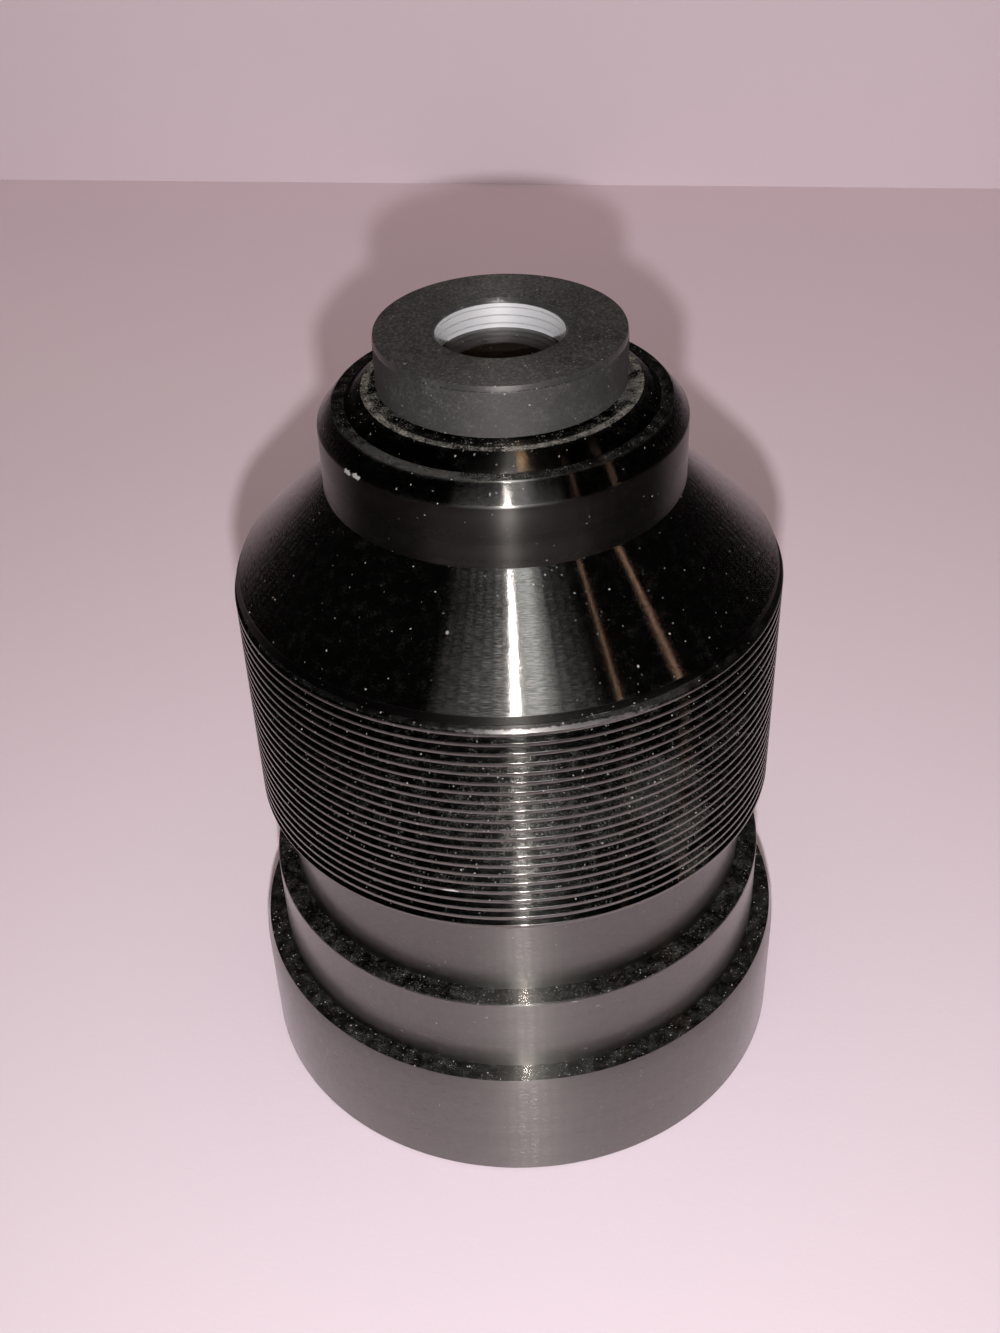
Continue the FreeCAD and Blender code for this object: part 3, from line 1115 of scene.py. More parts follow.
def finished(mesh: bmesh.types.BMesh, name: str, material: bpy.types.Material) -> bpy.types.Object:
    """Makes an object of a mesh, with outward normals and smooth turned faces.

    Args:
        mesh: The mesh. It is freed.
        name: The object's name.
        material: Its finish.

    Returns:
        The object, at the origin.
    """
    bmesh.ops.recalc_face_normals(mesh, faces=mesh.faces)
    for face in mesh.faces:
        face.smooth = True
    made = linked(mesh, name, material)
    made.data.set_sharp_from_angle(angle=SHARP_ANGLE)
    return made


def placed(piece: bpy.types.Object, slot: Slot, *nodes: str) -> bpy.types.Object:
    """Hangs a piece on the frame and reports it.

    Args:
        piece: The piece.
        slot: The material slot that its finish stands for, named in the log.
        *nodes: The CAD nodes that it stands for.

    Returns:
        The piece.
    """
    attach(piece, "root")
    if nodes:
        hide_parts(*nodes)
    log.info("%s: %d faces, %s", piece.name, len(piece.data.polygons), slot.value)
    return piece


def slotted(mesh: bmesh.types.BMesh, tool: bmesh.types.BMesh) -> bmesh.types.BMesh:
    """Cuts a tool's shape out of a mesh.

    Args:
        mesh: The mesh to cut. It is freed.
        tool: The shape to take away. It is freed.

    Returns:
        The cut mesh.
    """
    holders = []
    for part in (mesh, tool):
        bmesh.ops.recalc_face_normals(part, faces=part.faces)
        holders.append(linked(part, "cut"))
    body, cutter = holders
    cut = body.modifiers.new("cut", "BOOLEAN")
    cut.operation = "DIFFERENCE"
    cut.solver = "EXACT"
    cut.object = cutter
    graph = bpy.context.evaluated_depsgraph_get()
    result = bmesh.new()
    result.from_mesh(body.evaluated_get(graph).to_mesh())
    for holder in holders:
        data = holder.data
        bpy.data.objects.remove(holder)
        bpy.data.meshes.remove(data)
    return result


# The pieces of the lens


@dataclass
class Barrel:
    """The turned body: rim, two ledges, focusing thread, shoulder cone and collar, hollow inside."""

    rim: float = 38.8 * MM
    rim_foot: float = 0.4 * MM
    taper_foot: float = 16.6 * MM
    taper_in: float = 0.55 * MM
    ledge: float = 19.0 * MM
    land: float = 35.6 * MM
    land_break: float = 0.25 * MM
    upper_ledge: float = 31.3 * MM
    relief: float = 32.75 * MM
    thread_foot: float = 46.4 * MM
    crest: float = 36.0 * MM
    pitch: float = 1.5 * MM
    crest_land: float = 0.45 * MM
    root: float = 35.091 * MM
    crest_at_front: float = 78.12 * MM
    hand: Hand = Hand.RIGHT
    run_in: float = 78.35 * MM
    cone_foot: float = 80.25 * MM
    cone_foot_radius: float = 35.2 * MM
    collar: float = 23.05 * MM
    collar_foot: float = 92.4 * MM
    collar_top: float = 100.6 * MM
    nose_edge: float = 21.05 * MM
    nose_top: float = 103.0 * MM
    nose_seat: float = 19.5 * MM
    nose_floor: float = 99.0 * MM
    nose_bore: float = 16.0 * MM
    middle_stop: float = 86.0 * MM
    cell_bore: float = 22.0 * MM
    cell_step: float = 66.0 * MM
    step: float = 27.3 * MM
    field_seat: float = 56.0 * MM
    stack: float = 29.4 * MM
    front_seat: float = 15.8 * MM
    front_bore: float = 33.3 * MM
    mouth_depth: float = 9.03 * MM
    mouth: float = 34.4 * MM
    fine_break: float = 0.06 * MM
    worn_break: float = 0.12 * MM
    bright_break: float = 0.18 * MM
    crest_break: float = 0.05 * MM
    groove_fade: float = 0.5 * MM

    def walls(self) -> Profile:
        """Draws everything but the thread, from the thread's foot round to its head.

        Returns:
            The open outline.
        """
        line = Profile(closed=False)
        line.to(self.relief, self.thread_foot)
        line.to(self.relief, self.upper_ledge)
        line.to(self.land, self.upper_ledge, self.land_break)
        line.to(self.land, self.ledge)
        line.to(self.rim - self.taper_in, self.ledge, self.fine_break)
        line.to(self.rim, self.taper_foot)
        line.to(self.rim, self.rim_foot)
        line.to(self.rim - self.rim_foot, 0.0)
        line.to(self.mouth, 0.0, self.worn_break)
        line.to(self.mouth, self.mouth_depth)
        line.to(self.front_bore, self.mouth_depth)
        line.to(self.front_bore, self.front_seat)
        line.to(self.stack, self.front_seat)
        line.to(self.stack, self.field_seat)
        line.to(self.step, self.field_seat)
        line.to(self.step, self.cell_step)
        line.to(self.cell_bore, self.cell_step)
        line.to(self.cell_bore, self.middle_stop)
        line.to(self.nose_bore, self.middle_stop)
        line.to(self.nose_bore, self.nose_floor)
        line.to(self.nose_seat, self.nose_floor)
        line.to(self.nose_seat, self.nose_top, self.fine_break)
        line.to(self.nose_edge, self.nose_top, self.bright_break)
        line.to(self.collar, self.collar_top, self.worn_break)
        line.to(self.collar, self.collar_foot)
        line.to(self.cone_foot_radius, self.cone_foot)
        return line

    def thread(self) -> bmesh.types.BMesh:
        """Cuts the thread as one strip that climbs a pitch in each turn.

        Returns:
            An open mesh from the thread's foot to the foot of the cone.
        """
        half = self.crest_land / 2.0
        strip = Profile(closed=False)
        strip.to(self.crest, 0.0)
        strip.to(self.crest, half, self.crest_break)
        strip.to(self.root, self.pitch / 2.0, self.crest_break)
        strip.to(self.crest, self.pitch - half, self.crest_break)
        strip.to(self.crest, self.pitch)
        mesh = bmesh.new()
        strip.wire(mesh)
        climb = self.hand.value * self.pitch / COLUMNS
        bmesh.ops.spin(
            mesh,
            geom=mesh.verts[:] + mesh.edges[:],
            cent=ORIGIN,
            axis=AXIS,
            dvec=(0.0, 0.0, climb),
            angle=2.0 * math.pi,
            steps=COLUMNS,
            use_merge=False,
        )
        quarter = self.crest_at_front + self.hand.value * self.pitch / 4.0
        turns = math.ceil((quarter - self.thread_foot) / self.pitch) + 2
        bmesh.ops.translate(mesh, verts=mesh.verts, vec=(0.0, 0.0, quarter - turns * self.pitch))
        once = mesh.verts[:] + mesh.edges[:] + mesh.faces[:]
        for turn in range(1, turns + 4):
            copy = bmesh.ops.duplicate(mesh, geom=once)["geom"]
            lifted = [v for v in copy if isinstance(v, bmesh.types.BMVert)]
            bmesh.ops.translate(mesh, verts=lifted, vec=(0.0, 0.0, turn * self.pitch))
        bmesh.ops.remove_doubles(mesh, verts=mesh.verts, dist=MERGE)
        self.cut(mesh, self.thread_foot, keep_above=True)
        self.cut(mesh, self.cone_foot, keep_above=False)
        self.cut(mesh, self.run_in)
        self.run_out(mesh)
        return mesh

    @staticmethod
    def cut(mesh: bmesh.types.BMesh, height: float, keep_above: bool | None = None) -> None:
        """Cuts a mesh level at a height.

        Args:
            mesh: The mesh.
            height: The height of the cut.
            keep_above: Which side stays, or None for both.
        """
        bmesh.ops.bisect_plane(
            mesh,
            geom=mesh.verts[:] + mesh.edges[:] + mesh.faces[:],
            dist=MERGE,
            plane_co=(0.0, 0.0, height),
            plane_no=AXIS,
            clear_inner=keep_above is True,
            clear_outer=keep_above is False,
        )

    def run_out(self, mesh: bmesh.types.BMesh) -> None:
        """Turns the thread's head down to its run-in cone and lets the last groove fade there.

        Args:
            mesh: The thread.
        """
        slope = (self.crest - self.cone_foot_radius) / (self.cone_foot - self.run_in)
        for vert in mesh.verts:
            if vert.co.z <= self.run_in:
                continue
            reach = math.hypot(vert.co.x, vert.co.y)
            top = self.crest - slope * (vert.co.z - self.run_in)
            fade = min(1.0, max(0.0, (self.cone_foot - vert.co.z) / self.groove_fade))
            wanted = top - max(0.0, top - reach) * fade
            vert.co.x *= wanted / reach
            vert.co.y *= wanted / reach

    def build(self, finish: TurnedMetal) -> bpy.types.Object:
        """Builds the barrel and hangs it on the frame.

        Args:
            finish: Its finish.

        Returns:
            The barrel.
        """
        mesh = self.walls().turned()
        holder = bpy.data.meshes.new("thread")
        thread = self.thread()
        thread.to_mesh(holder)
        thread.free()
        mesh.from_mesh(holder)
        bpy.data.meshes.remove(holder)
        for height in (self.thread_foot, self.cone_foot):
            rims = [
                e for e in mesh.edges
                if e.is_boundary and all(abs(v.co.z - height) < 10.0 * MERGE for v in e.verts)
            ]
            bmesh.ops.bridge_loops(mesh, edges=rims)
        bmesh.ops.remove_doubles(mesh, verts=mesh.verts, dist=MERGE)
        piece = finished(mesh, "barrel", finish.build())
        return placed(piece, Slot.BARREL, "main_barrel")


@dataclass
class NosePiece:
    """The flanged piece that carries the rear glasses, with its dusty inner ledge and threaded neck."""

    foot: float = 88.0 * MM
    bore: float = 12.1 * MM
    body: float = 15.9 * MM
    flange: float = 19.45 * MM
    flange_foot: float = 99.0 * MM
    top: float = 103.0 * MM
    ledge: float = 17.35 * MM
    ledge_height: float = 104.7 * MM
    neck: float = 12.55 * MM
    neck_top: float = 110.0 * MM
    last_bore: float = 8.95 * MM
    last_seat: float = 103.658 * MM
    seat_hole: float = 8.15 * MM
    throat: float = 10.6 * MM
    throat_top: float = 102.0 * MM
    pair_seat: float = 99.5 * MM
    fine_break: float = 0.06 * MM

    def build(self, finish: TurnedMetal) -> bpy.types.Object:
        """Builds the nose piece and hangs it on the frame.

        Args:
            finish: Its finish.

        Returns:
            The nose piece.
        """
        line = Profile()
        line.to(self.bore, self.foot, self.fine_break)
        line.to(self.body, self.foot, self.fine_break)
        line.to(self.body, self.flange_foot)
        line.to(self.flange, self.flange_foot)
        line.to(self.flange, self.top, self.fine_break)
        line.to(self.ledge, self.ledge_height, self.fine_break)
        line.to(self.neck, self.ledge_height)
        line.to(self.neck, self.neck_top, self.fine_break)
        line.to(self.last_bore, self.neck_top, self.fine_break)
        line.to(self.last_bore, self.last_seat)
        line.to(self.seat_hole, self.last_seat, self.fine_break)
        line.to(self.throat, self.throat_top)
        line.to(self.throat, self.pair_seat)
        line.to(self.bore, self.pair_seat)
        piece = finished(line.turned(), "nose_piece", finish.build())
        return placed(piece, Slot.NOSE, "rear_cell")


@dataclass
class TipCap:
    """The matt black cap on the neck, whose lip holds the bright sleeve."""

    outer: float = 15.45 * MM
    foot: float = 105.3 * MM
    top: float = 111.8 * MM
    edge_height: float = 0.7 * MM
    edge_run: float = 0.12 * MM
    hole: float = 7.9 * MM
    mouth: float = 0.4 * MM
    lip_foot: float = 111.2 * MM
    sleeve_bore: float = 8.95 * MM
    pocket: float = 110.2 * MM
    thread: float = 12.65 * MM
    fine_break: float = 0.06 * MM
    edge_break: float = 0.12 * MM

    def build(self, finish: TurnedMetal) -> bpy.types.Object:
        """Builds the cap and hangs it on the frame.

        Args:
            finish: Its finish.

        Returns:
            The cap.
        """
        line = Profile()
        line.to(self.thread, self.foot, self.fine_break)
        line.to(self.outer, self.foot, self.fine_break)
        line.to(self.outer, self.top - self.edge_height, self.edge_break)
        line.to(self.outer - self.edge_run, self.top, self.fine_break)
        line.to(self.hole + self.mouth, self.top, self.fine_break)
        line.to(self.hole, self.top - self.mouth, self.fine_break)
        line.to(self.hole, self.lip_foot)
        line.to(self.sleeve_bore, self.lip_foot)
        line.to(self.sleeve_bore, self.pocket)
        line.to(self.thread, self.pocket)
        piece = finished(line.turned(), "tip_cap_dressed", finish.build())
        return placed(piece, Slot.CAP, "tip_cap")


@dataclass
class Window:
    """The bare grooved sleeve in the tip and the last glass under it."""

    sleeve_inner: float = 7.9 * MM
    sleeve_outer: float = 8.9 * MM
    sleeve_top: float = 111.2 * MM
    sleeve_foot: float = 107.95 * MM
    grooves: int = 3
    groove_pitch: float = 1.05 * MM
    groove_width: float = 0.2 * MM
    groove_depth: float = 0.4 * MM
    fine_break: float = 0.04 * MM
    glass_radius: float = 8.9 * MM
    glass_foot: float = 103.658 * MM
    glass_rim: float = 107.658 * MM
    glass_curve: float = 30.0 * MM

    def sleeve(self, finish: TurnedMetal) -> bpy.types.Object:
        """Builds the bright sleeve.

        Args:
            finish: Its finish.

        Returns:
            The sleeve.
        """
        half = self.groove_width / 2.0
        line = Profile()
        line.to(self.sleeve_inner, self.sleeve_top)
        for groove in range(self.grooves):
            middle = self.sleeve_top - (groove + 0.5) * self.groove_pitch
            line.to(self.sleeve_inner, middle + half)
            line.to(self.sleeve_inner + self.groove_depth, middle + half)
            line.to(self.sleeve_inner + self.groove_depth, middle - half)
            line.to(self.sleeve_inner, middle - half)
        line.to(self.sleeve_inner, self.sleeve_foot)
        fall = sag(self.glass_curve, self.sleeve_outer) - sag(self.glass_curve, self.sleeve_inner)
        line.to(self.sleeve_outer, self.sleeve_foot - fall)
        line.to(self.sleeve_outer, self.sleeve_top)
        piece = finished(line.turned(), "bright_sleeve_dressed", finish.build())
        return placed(piece, Slot.BARE, "bright_sleeve")

    def glass(self, finish: Glass) -> bpy.types.Object:
        """Builds the last glass.

        Args:
            finish: Its finish.

        Returns:
            The glass.
        """
        line = Profile(closed=False)
        line.to(0.0, self.glass_foot)
        line.to(self.glass_radius, self.glass_foot, self.fine_break)
        line.to(self.glass_radius, self.glass_rim)
        pole = self.glass_rim + sag(self.glass_curve, self.glass_radius)
        line.dome(0.0, pole, self.glass_curve)
        piece = finished(line.turned(), "last_glass", finish.build())
        return placed(piece, Slot.COATED, "last_lens")


@dataclass
class FrontGroup:
    """The large front glass and its slotted ring, seen from under the rim."""

    glass_radius: float = 33.25 * MM
    glass_seat: float = 15.8 * MM
    glass_edge: float = 5.75 * MM
    outer_curve: float = 75.0 * MM
    inner_curve: float = 36.0 * MM
    clear: float = 25.0 * MM
    ring_inner: float = 31.0 * MM
    ring_outer: float = 34.3 * MM
    ring_foot: float = 2.78 * MM
    ring_top: float = 8.98 * MM
    slot_width: float = 2.0 * MM
    slot_depth: float = 1.0 * MM
    fine_break: float = 0.08 * MM

    def glass(self, finish: Glass) -> bpy.types.Object:
        """Builds the front glass.

        Args:
            finish: Its finish.

        Returns:
            The glass.
        """
        rim = self.glass_seat - self.glass_edge
        pole = rim - sag(self.outer_curve, self.glass_radius)
        hollow = self.glass_seat - sag(self.inner_curve, self.clear)
        line = Profile(closed=False)
        line.to(0.0, pole)
        line.dome(self.glass_radius, rim, -self.outer_curve)
        line.to(self.glass_radius, self.glass_seat, self.fine_break)
        line.to(self.clear, self.glass_seat)
        line.dome(0.0, hollow, -self.inner_curve)
        piece = finished(line.turned(), "front_glass", finish.build())
        return placed(piece, Slot.COATED, "front_meniscus")

    def ring(self, finish: TurnedMetal) -> bpy.types.Object:
        """Builds the slotted ring.

        Args:
            finish: Its finish.

        Returns:
            The ring.
        """
        line = Profile()
        line.to(self.ring_inner, self.ring_foot, self.fine_break)
        line.to(self.ring_outer, self.ring_foot, self.fine_break)
        line.to(self.ring_outer, self.ring_top)
        line.to(self.ring_inner, self.ring_top)
        mesh = line.turned()
        bar = bmesh.new()
        span = Vector((2.4 * self.ring_outer, self.slot_width, 2.0 * self.slot_depth))
        size = Matrix.Diagonal(span).to_4x4()
        place = Matrix.Translation((0.0, 0.0, self.ring_foot))
        bmesh.ops.create_cube(bar, size=1.0, matrix=place @ size)
        cut = slotted(mesh, bar)
        piece = finished(cut, "front_ring", finish.build())
        return placed(piece, Slot.RING, "front_retaining_ring")


# What the lens stands in


class LampUse(Enum):
    """What a lamp is for."""

    FILL = "lights matt surfaces"
    SHINE = "shows in polished surfaces"


@dataclass(frozen=True)
class Lamp:
    """A soft oval lamp.

    Attributes:
        name: Its name.
        place: Where it hangs.
        width: Its width.
        height: Its height.
        power: Its power.
        colour: Its colour.
        use: What it is for.
        even: Whether it fades with distance rather than with distance squared.
        lean: How far it is turned about its own beam, in degrees.
        only: Name of the one piece that it lights, or empty where it lights all.
    """

    name: str
    place: tuple[float, float, float]
    width: float
    height: float
    power: float
    colour: Colour
    use: LampUse
    even: bool = False
    lean: float = 0.0
    only: str = ""


FLASH = (-1.6 * MM, -190.0 * MM, 181.0 * MM)
GLOW = (1.5 * MM, -190.0 * MM, 181.0 * MM)
SIDE = (42.0 * MM, -216.0 * MM, 446.0 * MM)
SIDE_EDGE = (84.0 * MM, -261.0 * MM, 401.0 * MM)
NEAR_FRAME = (375.0 * MM, -335.0 * MM, 598.0 * MM)
FAR_FRAME = (549.0 * MM, -162.0 * MM, 519.0 * MM)
WARM = (66.0 * MM, -171.0 * MM, 575.0 * MM)
FLARE = (1.5 * MM, -190.0 * MM, 190.0 * MM)
PALE = (0.95, 0.98, 1.0)
VIOLET = (0.97, 0.95, 1.0)
BROWN = (1.0, 0.62, 0.45)
AMBER = (1.0, 0.6, 0.3)

LAMPS = (
    Lamp("key", FLASH, 5.0 * MM, 5.0 * MM, 3.1, (0.92, 0.92, 0.95), LampUse.FILL, even=True),
    Lamp("overhead", (0.0, -100.0 * MM, 2.5), 3.0, 3.0, 18.5, (1.0, 0.875, 0.81), LampUse.FILL),
    Lamp("shine", FLARE, 10.0 * MM, 40.0 * MM, 0.27, (1.0, 0.95, 0.95), LampUse.SHINE),
    Lamp("glow_1", GLOW, 54.0 * MM, 40.0 * MM, 0.034, VIOLET, LampUse.SHINE),
    Lamp("glow_2", GLOW, 96.0 * MM, 50.0 * MM, 0.030, VIOLET, LampUse.SHINE),
    Lamp("glow_3", GLOW, 156.0 * MM, 70.0 * MM, 0.057, VIOLET, LampUse.SHINE),
    Lamp("glow_4", GLOW, 240.0 * MM, 90.0 * MM, 0.068, VIOLET, LampUse.SHINE),
    Lamp("side_shine", SIDE, 54.0 * MM, 280.0 * MM, 0.11, PALE, LampUse.SHINE),
    Lamp("side_edge", SIDE_EDGE, 6.0 * MM, 160.0 * MM, 0.012, PALE, LampUse.SHINE, lean=-20.0),
    Lamp("frame_near", NEAR_FRAME, 7.0 * MM, 260.0 * MM, 0.021, BROWN, LampUse.SHINE, lean=-22.0),
    Lamp("frame_far", FAR_FRAME, 9.0 * MM, 260.0 * MM, 0.038, BROWN, LampUse.SHINE, lean=-35.0),
    Lamp("warm_spot", WARM, 30.0 * MM, 30.0 * MM, 0.27, AMBER, LampUse.SHINE, only="nose_piece"),
)


@dataclass
class Studio:
    """A pale tray to stand in, soft lamps and the camera at the photo's place."""

    wall_behind: float = 342.7 * MM
    wall_turn: float = math.radians(-7.47)
    tray_reach: float = 1.1
    wall_height: float = 0.30
    mirrored_wall: float = 0.05
    camera_side: float = -1.591 * MM
    camera_back: float = 178.207 * MM
    camera_height: float = 196.577 * MM
    aim_height: float = 60.676 * MM
    camera_roll: float = math.radians(-2.2387)
    focal_length: float = 43.584
    sensor: float = 36.0
    world_level: float = 0.008
    lamp_aim: float = 55.0 * MM
    # Where the black card of painted shade lies on the floor, and how dark it is.
    flag_near: float = -65.0 * MM
    flag_far: float = -180.0 * MM
    flag_side: float = 82.0 * MM
    flag_side_far: float = 125.0 * MM
    flag_back: float = 165.0 * MM
    flag_reach: float = 0.6
    flag_height: float = 0.5 * MM
    flag_strength: float = 0.9

    def tray(self, paint: StudioPaint) -> None:
        """Builds the floor with its back wall, and the low walls out of the picture.

        Args:
            paint: Its finish.
        """
        finish = paint.build()
        self.sheet("studio_tray", finish, behind=True)
        around = self.sheet("studio_around", finish, behind=False)
        around.visible_glossy = False

    @staticmethod
    def raise_wall(mesh: bmesh.types.BMesh, edges: list, height: float) -> list:
        """Raises a wall on some edges.

        Args:
            mesh: The mesh.
            edges: The edges at its foot.
            height: The wall's height.

        Returns:
            The edges at its top.
        """
        raised = bmesh.ops.extrude_edge_only(mesh, edges=edges)["geom"]
        tops = [v for v in raised if isinstance(v, bmesh.types.BMVert)]
        bmesh.ops.translate(mesh, verts=tops, vec=(0.0, 0.0, height))
        return [e for e in raised if isinstance(e, bmesh.types.BMEdge) and all(v in tops for v in e.verts)]

    def sheet(self, name: str, finish: bpy.types.Material, behind: bool) -> bpy.types.Object:
        """Builds the floor and the wall behind, or the walls on the other three sides.

        Args:
            name: The object's name.
            finish: Its finish.
            behind: Whether it is the floor with the wall behind.

        Returns:
            The object, kept out of the part.
        """
        mesh = bmesh.new()
        bmesh.ops.create_grid(mesh, x_segments=1, y_segments=1, size=self.tray_reach)
        back = self.wall_behind - self.tray_reach
        for vert in mesh.verts:
            if vert.co.y > 0.0:
                vert.co.y += back + vert.co.x * math.tan(self.wall_turn)
        far = [e for e in mesh.edges if all(v.co.y > 0.0 for v in e.verts)]
        near = [e for e in mesh.edges if e not in far]
        brink = self.raise_wall(mesh, far, self.mirrored_wall)
        if not behind:
            bmesh.ops.delete(mesh, geom=mesh.faces[:], context="FACES_ONLY")
            self.raise_wall(mesh, brink, self.wall_height - self.mirrored_wall)
            self.raise_wall(mesh, near, self.wall_height)
        bmesh.ops.recalc_face_normals(mesh, faces=mesh.faces)
        made = linked(mesh, name, finish)
        return made

    def flag(self) -> None:
        """Lays a black card on the floor out of the picture, which only polished surfaces see.

        It is painted shade: it stands for the shade over the near floor and for the dark room in front of
        and beside the pale sheet.
        """
        # Painted shade: black towards the near floor and the sides, clear elsewhere.
        material = bpy.data.materials.new("painted_shade_black")
        material.use_nodes = True
        kit = Nodes(material.node_tree)
        split = kit.add("SeparateXYZ")
        kit.feed(split.inputs[0], kit.add("TexCoord").outputs["Object"])
        clear = kit.add("BsdfTransparent")
        black = kit.add("BsdfDiffuse")
        kit.feed(black.inputs["Color"], grey(0.005))
        shade = kit.add("MixShader")
        front = kit.ramp(split.outputs[1], self.flag_near, self.flag_far, smooth=False)
        away = kit.math("ABSOLUTE", split.outputs[0])
        side = kit.ramp(away, self.flag_side, self.flag_side_far)
        beside = kit.math("MULTIPLY", side, kit.ramp(split.outputs[1], self.flag_back, 0.0))
        depth = kit.math("MAXIMUM", front, beside)
        kit.feed(shade.inputs[0], kit.math("MULTIPLY", depth, self.flag_strength))
        kit.feed(shade.inputs[1], clear.outputs[0])
        kit.feed(shade.inputs[2], black.outputs[0])
        output = kit.add("OutputMaterial")
        kit.feed(output.inputs["Surface"], shade.outputs[0])
        mesh = bmesh.new()
        bmesh.ops.create_grid(mesh, x_segments=1, y_segments=1, size=self.flag_reach)
        middle = self.flag_back - self.flag_reach
        bmesh.ops.translate(mesh, verts=mesh.verts, vec=(0.0, middle, self.flag_height))
        card = linked(mesh, "flag", material)
        card.visible_camera = False
        card.visible_diffuse = False
        card.visible_transmission = False
        card.visible_shadow = False

    def hang(self, lamp: Lamp) -> None:
        """Hangs a lamp, pointed at the middle of the lens.

        Args:
            lamp: The lamp.
        """
        light = bpy.data.lights.new(lamp.name, "AREA")
        light.shape = "ELLIPSE"
        light.size = lamp.width
        light.size_y = lamp.height
        light.energy = lamp.power
        light.color = lamp.colour
        if lamp.even:
            light.use_nodes = True
            kit = Nodes(light.node_tree)
            falloff = kit.add("LightFalloff")
            kit.feed(falloff.inputs["Strength"], 1.0)
            glow = kit.add("Emission")
            kit.feed(glow.inputs["Color"], lamp.colour)
            kit.feed(glow.inputs["Strength"], falloff.outputs["Linear"])
            output = kit.add("OutputLight")
            kit.feed(output.inputs["Surface"], glow.outputs[0])
        holder = bpy.data.objects.new(lamp.name, light)
        place = Vector(lamp.place)
        aim = Vector((0.0, 0.0, self.lamp_aim))
        holder.location = place
        facing = (aim - place).to_track_quat("-Z", "Y").to_matrix()
        holder.rotation_euler = (facing @ Matrix.Rotation(math.radians(lamp.lean), 3, "Z")).to_euler()
        holder.visible_glossy = lamp.use is not LampUse.FILL
        holder.visible_diffuse = lamp.use is not LampUse.SHINE
        if lamp.only:
            lit = bpy.data.collections.new(lamp.name)
            lit.objects.link(bpy.data.objects[lamp.only])
            holder.light_linking.receiver_collection = lit
        bpy.context.scene.collection.objects.link(holder)

    def lamps(self) -> None:
        """Hangs the lamps and sets the dim world."""
        for lamp in LAMPS:
            self.hang(lamp)
        world = bpy.data.worlds.new("studio_world")
        world.use_nodes = True
        kit = Nodes(world.node_tree)
        shade = kit.add("Background")
        kit.feed(shade.inputs["Color"], grey(1.0))
        kit.feed(shade.inputs["Strength"], self.world_level)
        output = kit.add("OutputWorld")
        kit.feed(output.inputs["Surface"], shade.outputs[0])
        bpy.context.scene.world = world

    def camera(self) -> None:
        """Places the camera where the photo was taken from."""
        place = Vector((self.camera_side, -self.camera_back, self.camera_height))
        aim = Vector((self.camera_side, 0.0, self.aim_height))
        back = (place - aim).normalized()
        right = Vector(AXIS).cross(back).normalized()
        up = back.cross(right)
        turn = Matrix.Rotation(self.camera_roll, 3, "Z")
        axes = Matrix((right, up, back)).transposed() @ turn
        data = bpy.data.cameras.new("camera")
        data.lens = self.focal_length
        data.sensor_width = self.sensor
        data.clip_start = 0.005
        data.clip_end = 20.0
        camera = bpy.data.objects.new("camera", data)
        camera.matrix_world = Matrix.Translation(place) @ axes.to_4x4()
        bpy.context.scene.collection.objects.link(camera)
        bpy.context.scene.camera = camera

    def build(self) -> None:
        """Builds the tray, lamps and camera and sets the plain view."""
        self.tray(StudioPaint("studio_paint", (0.80, 0.67, 0.70)))
        # The black card of painted shade, which only polished surfaces see.
        self.flag()
        self.lamps()
        self.camera()
        bpy.context.scene.view_settings.view_transform = "Standard"


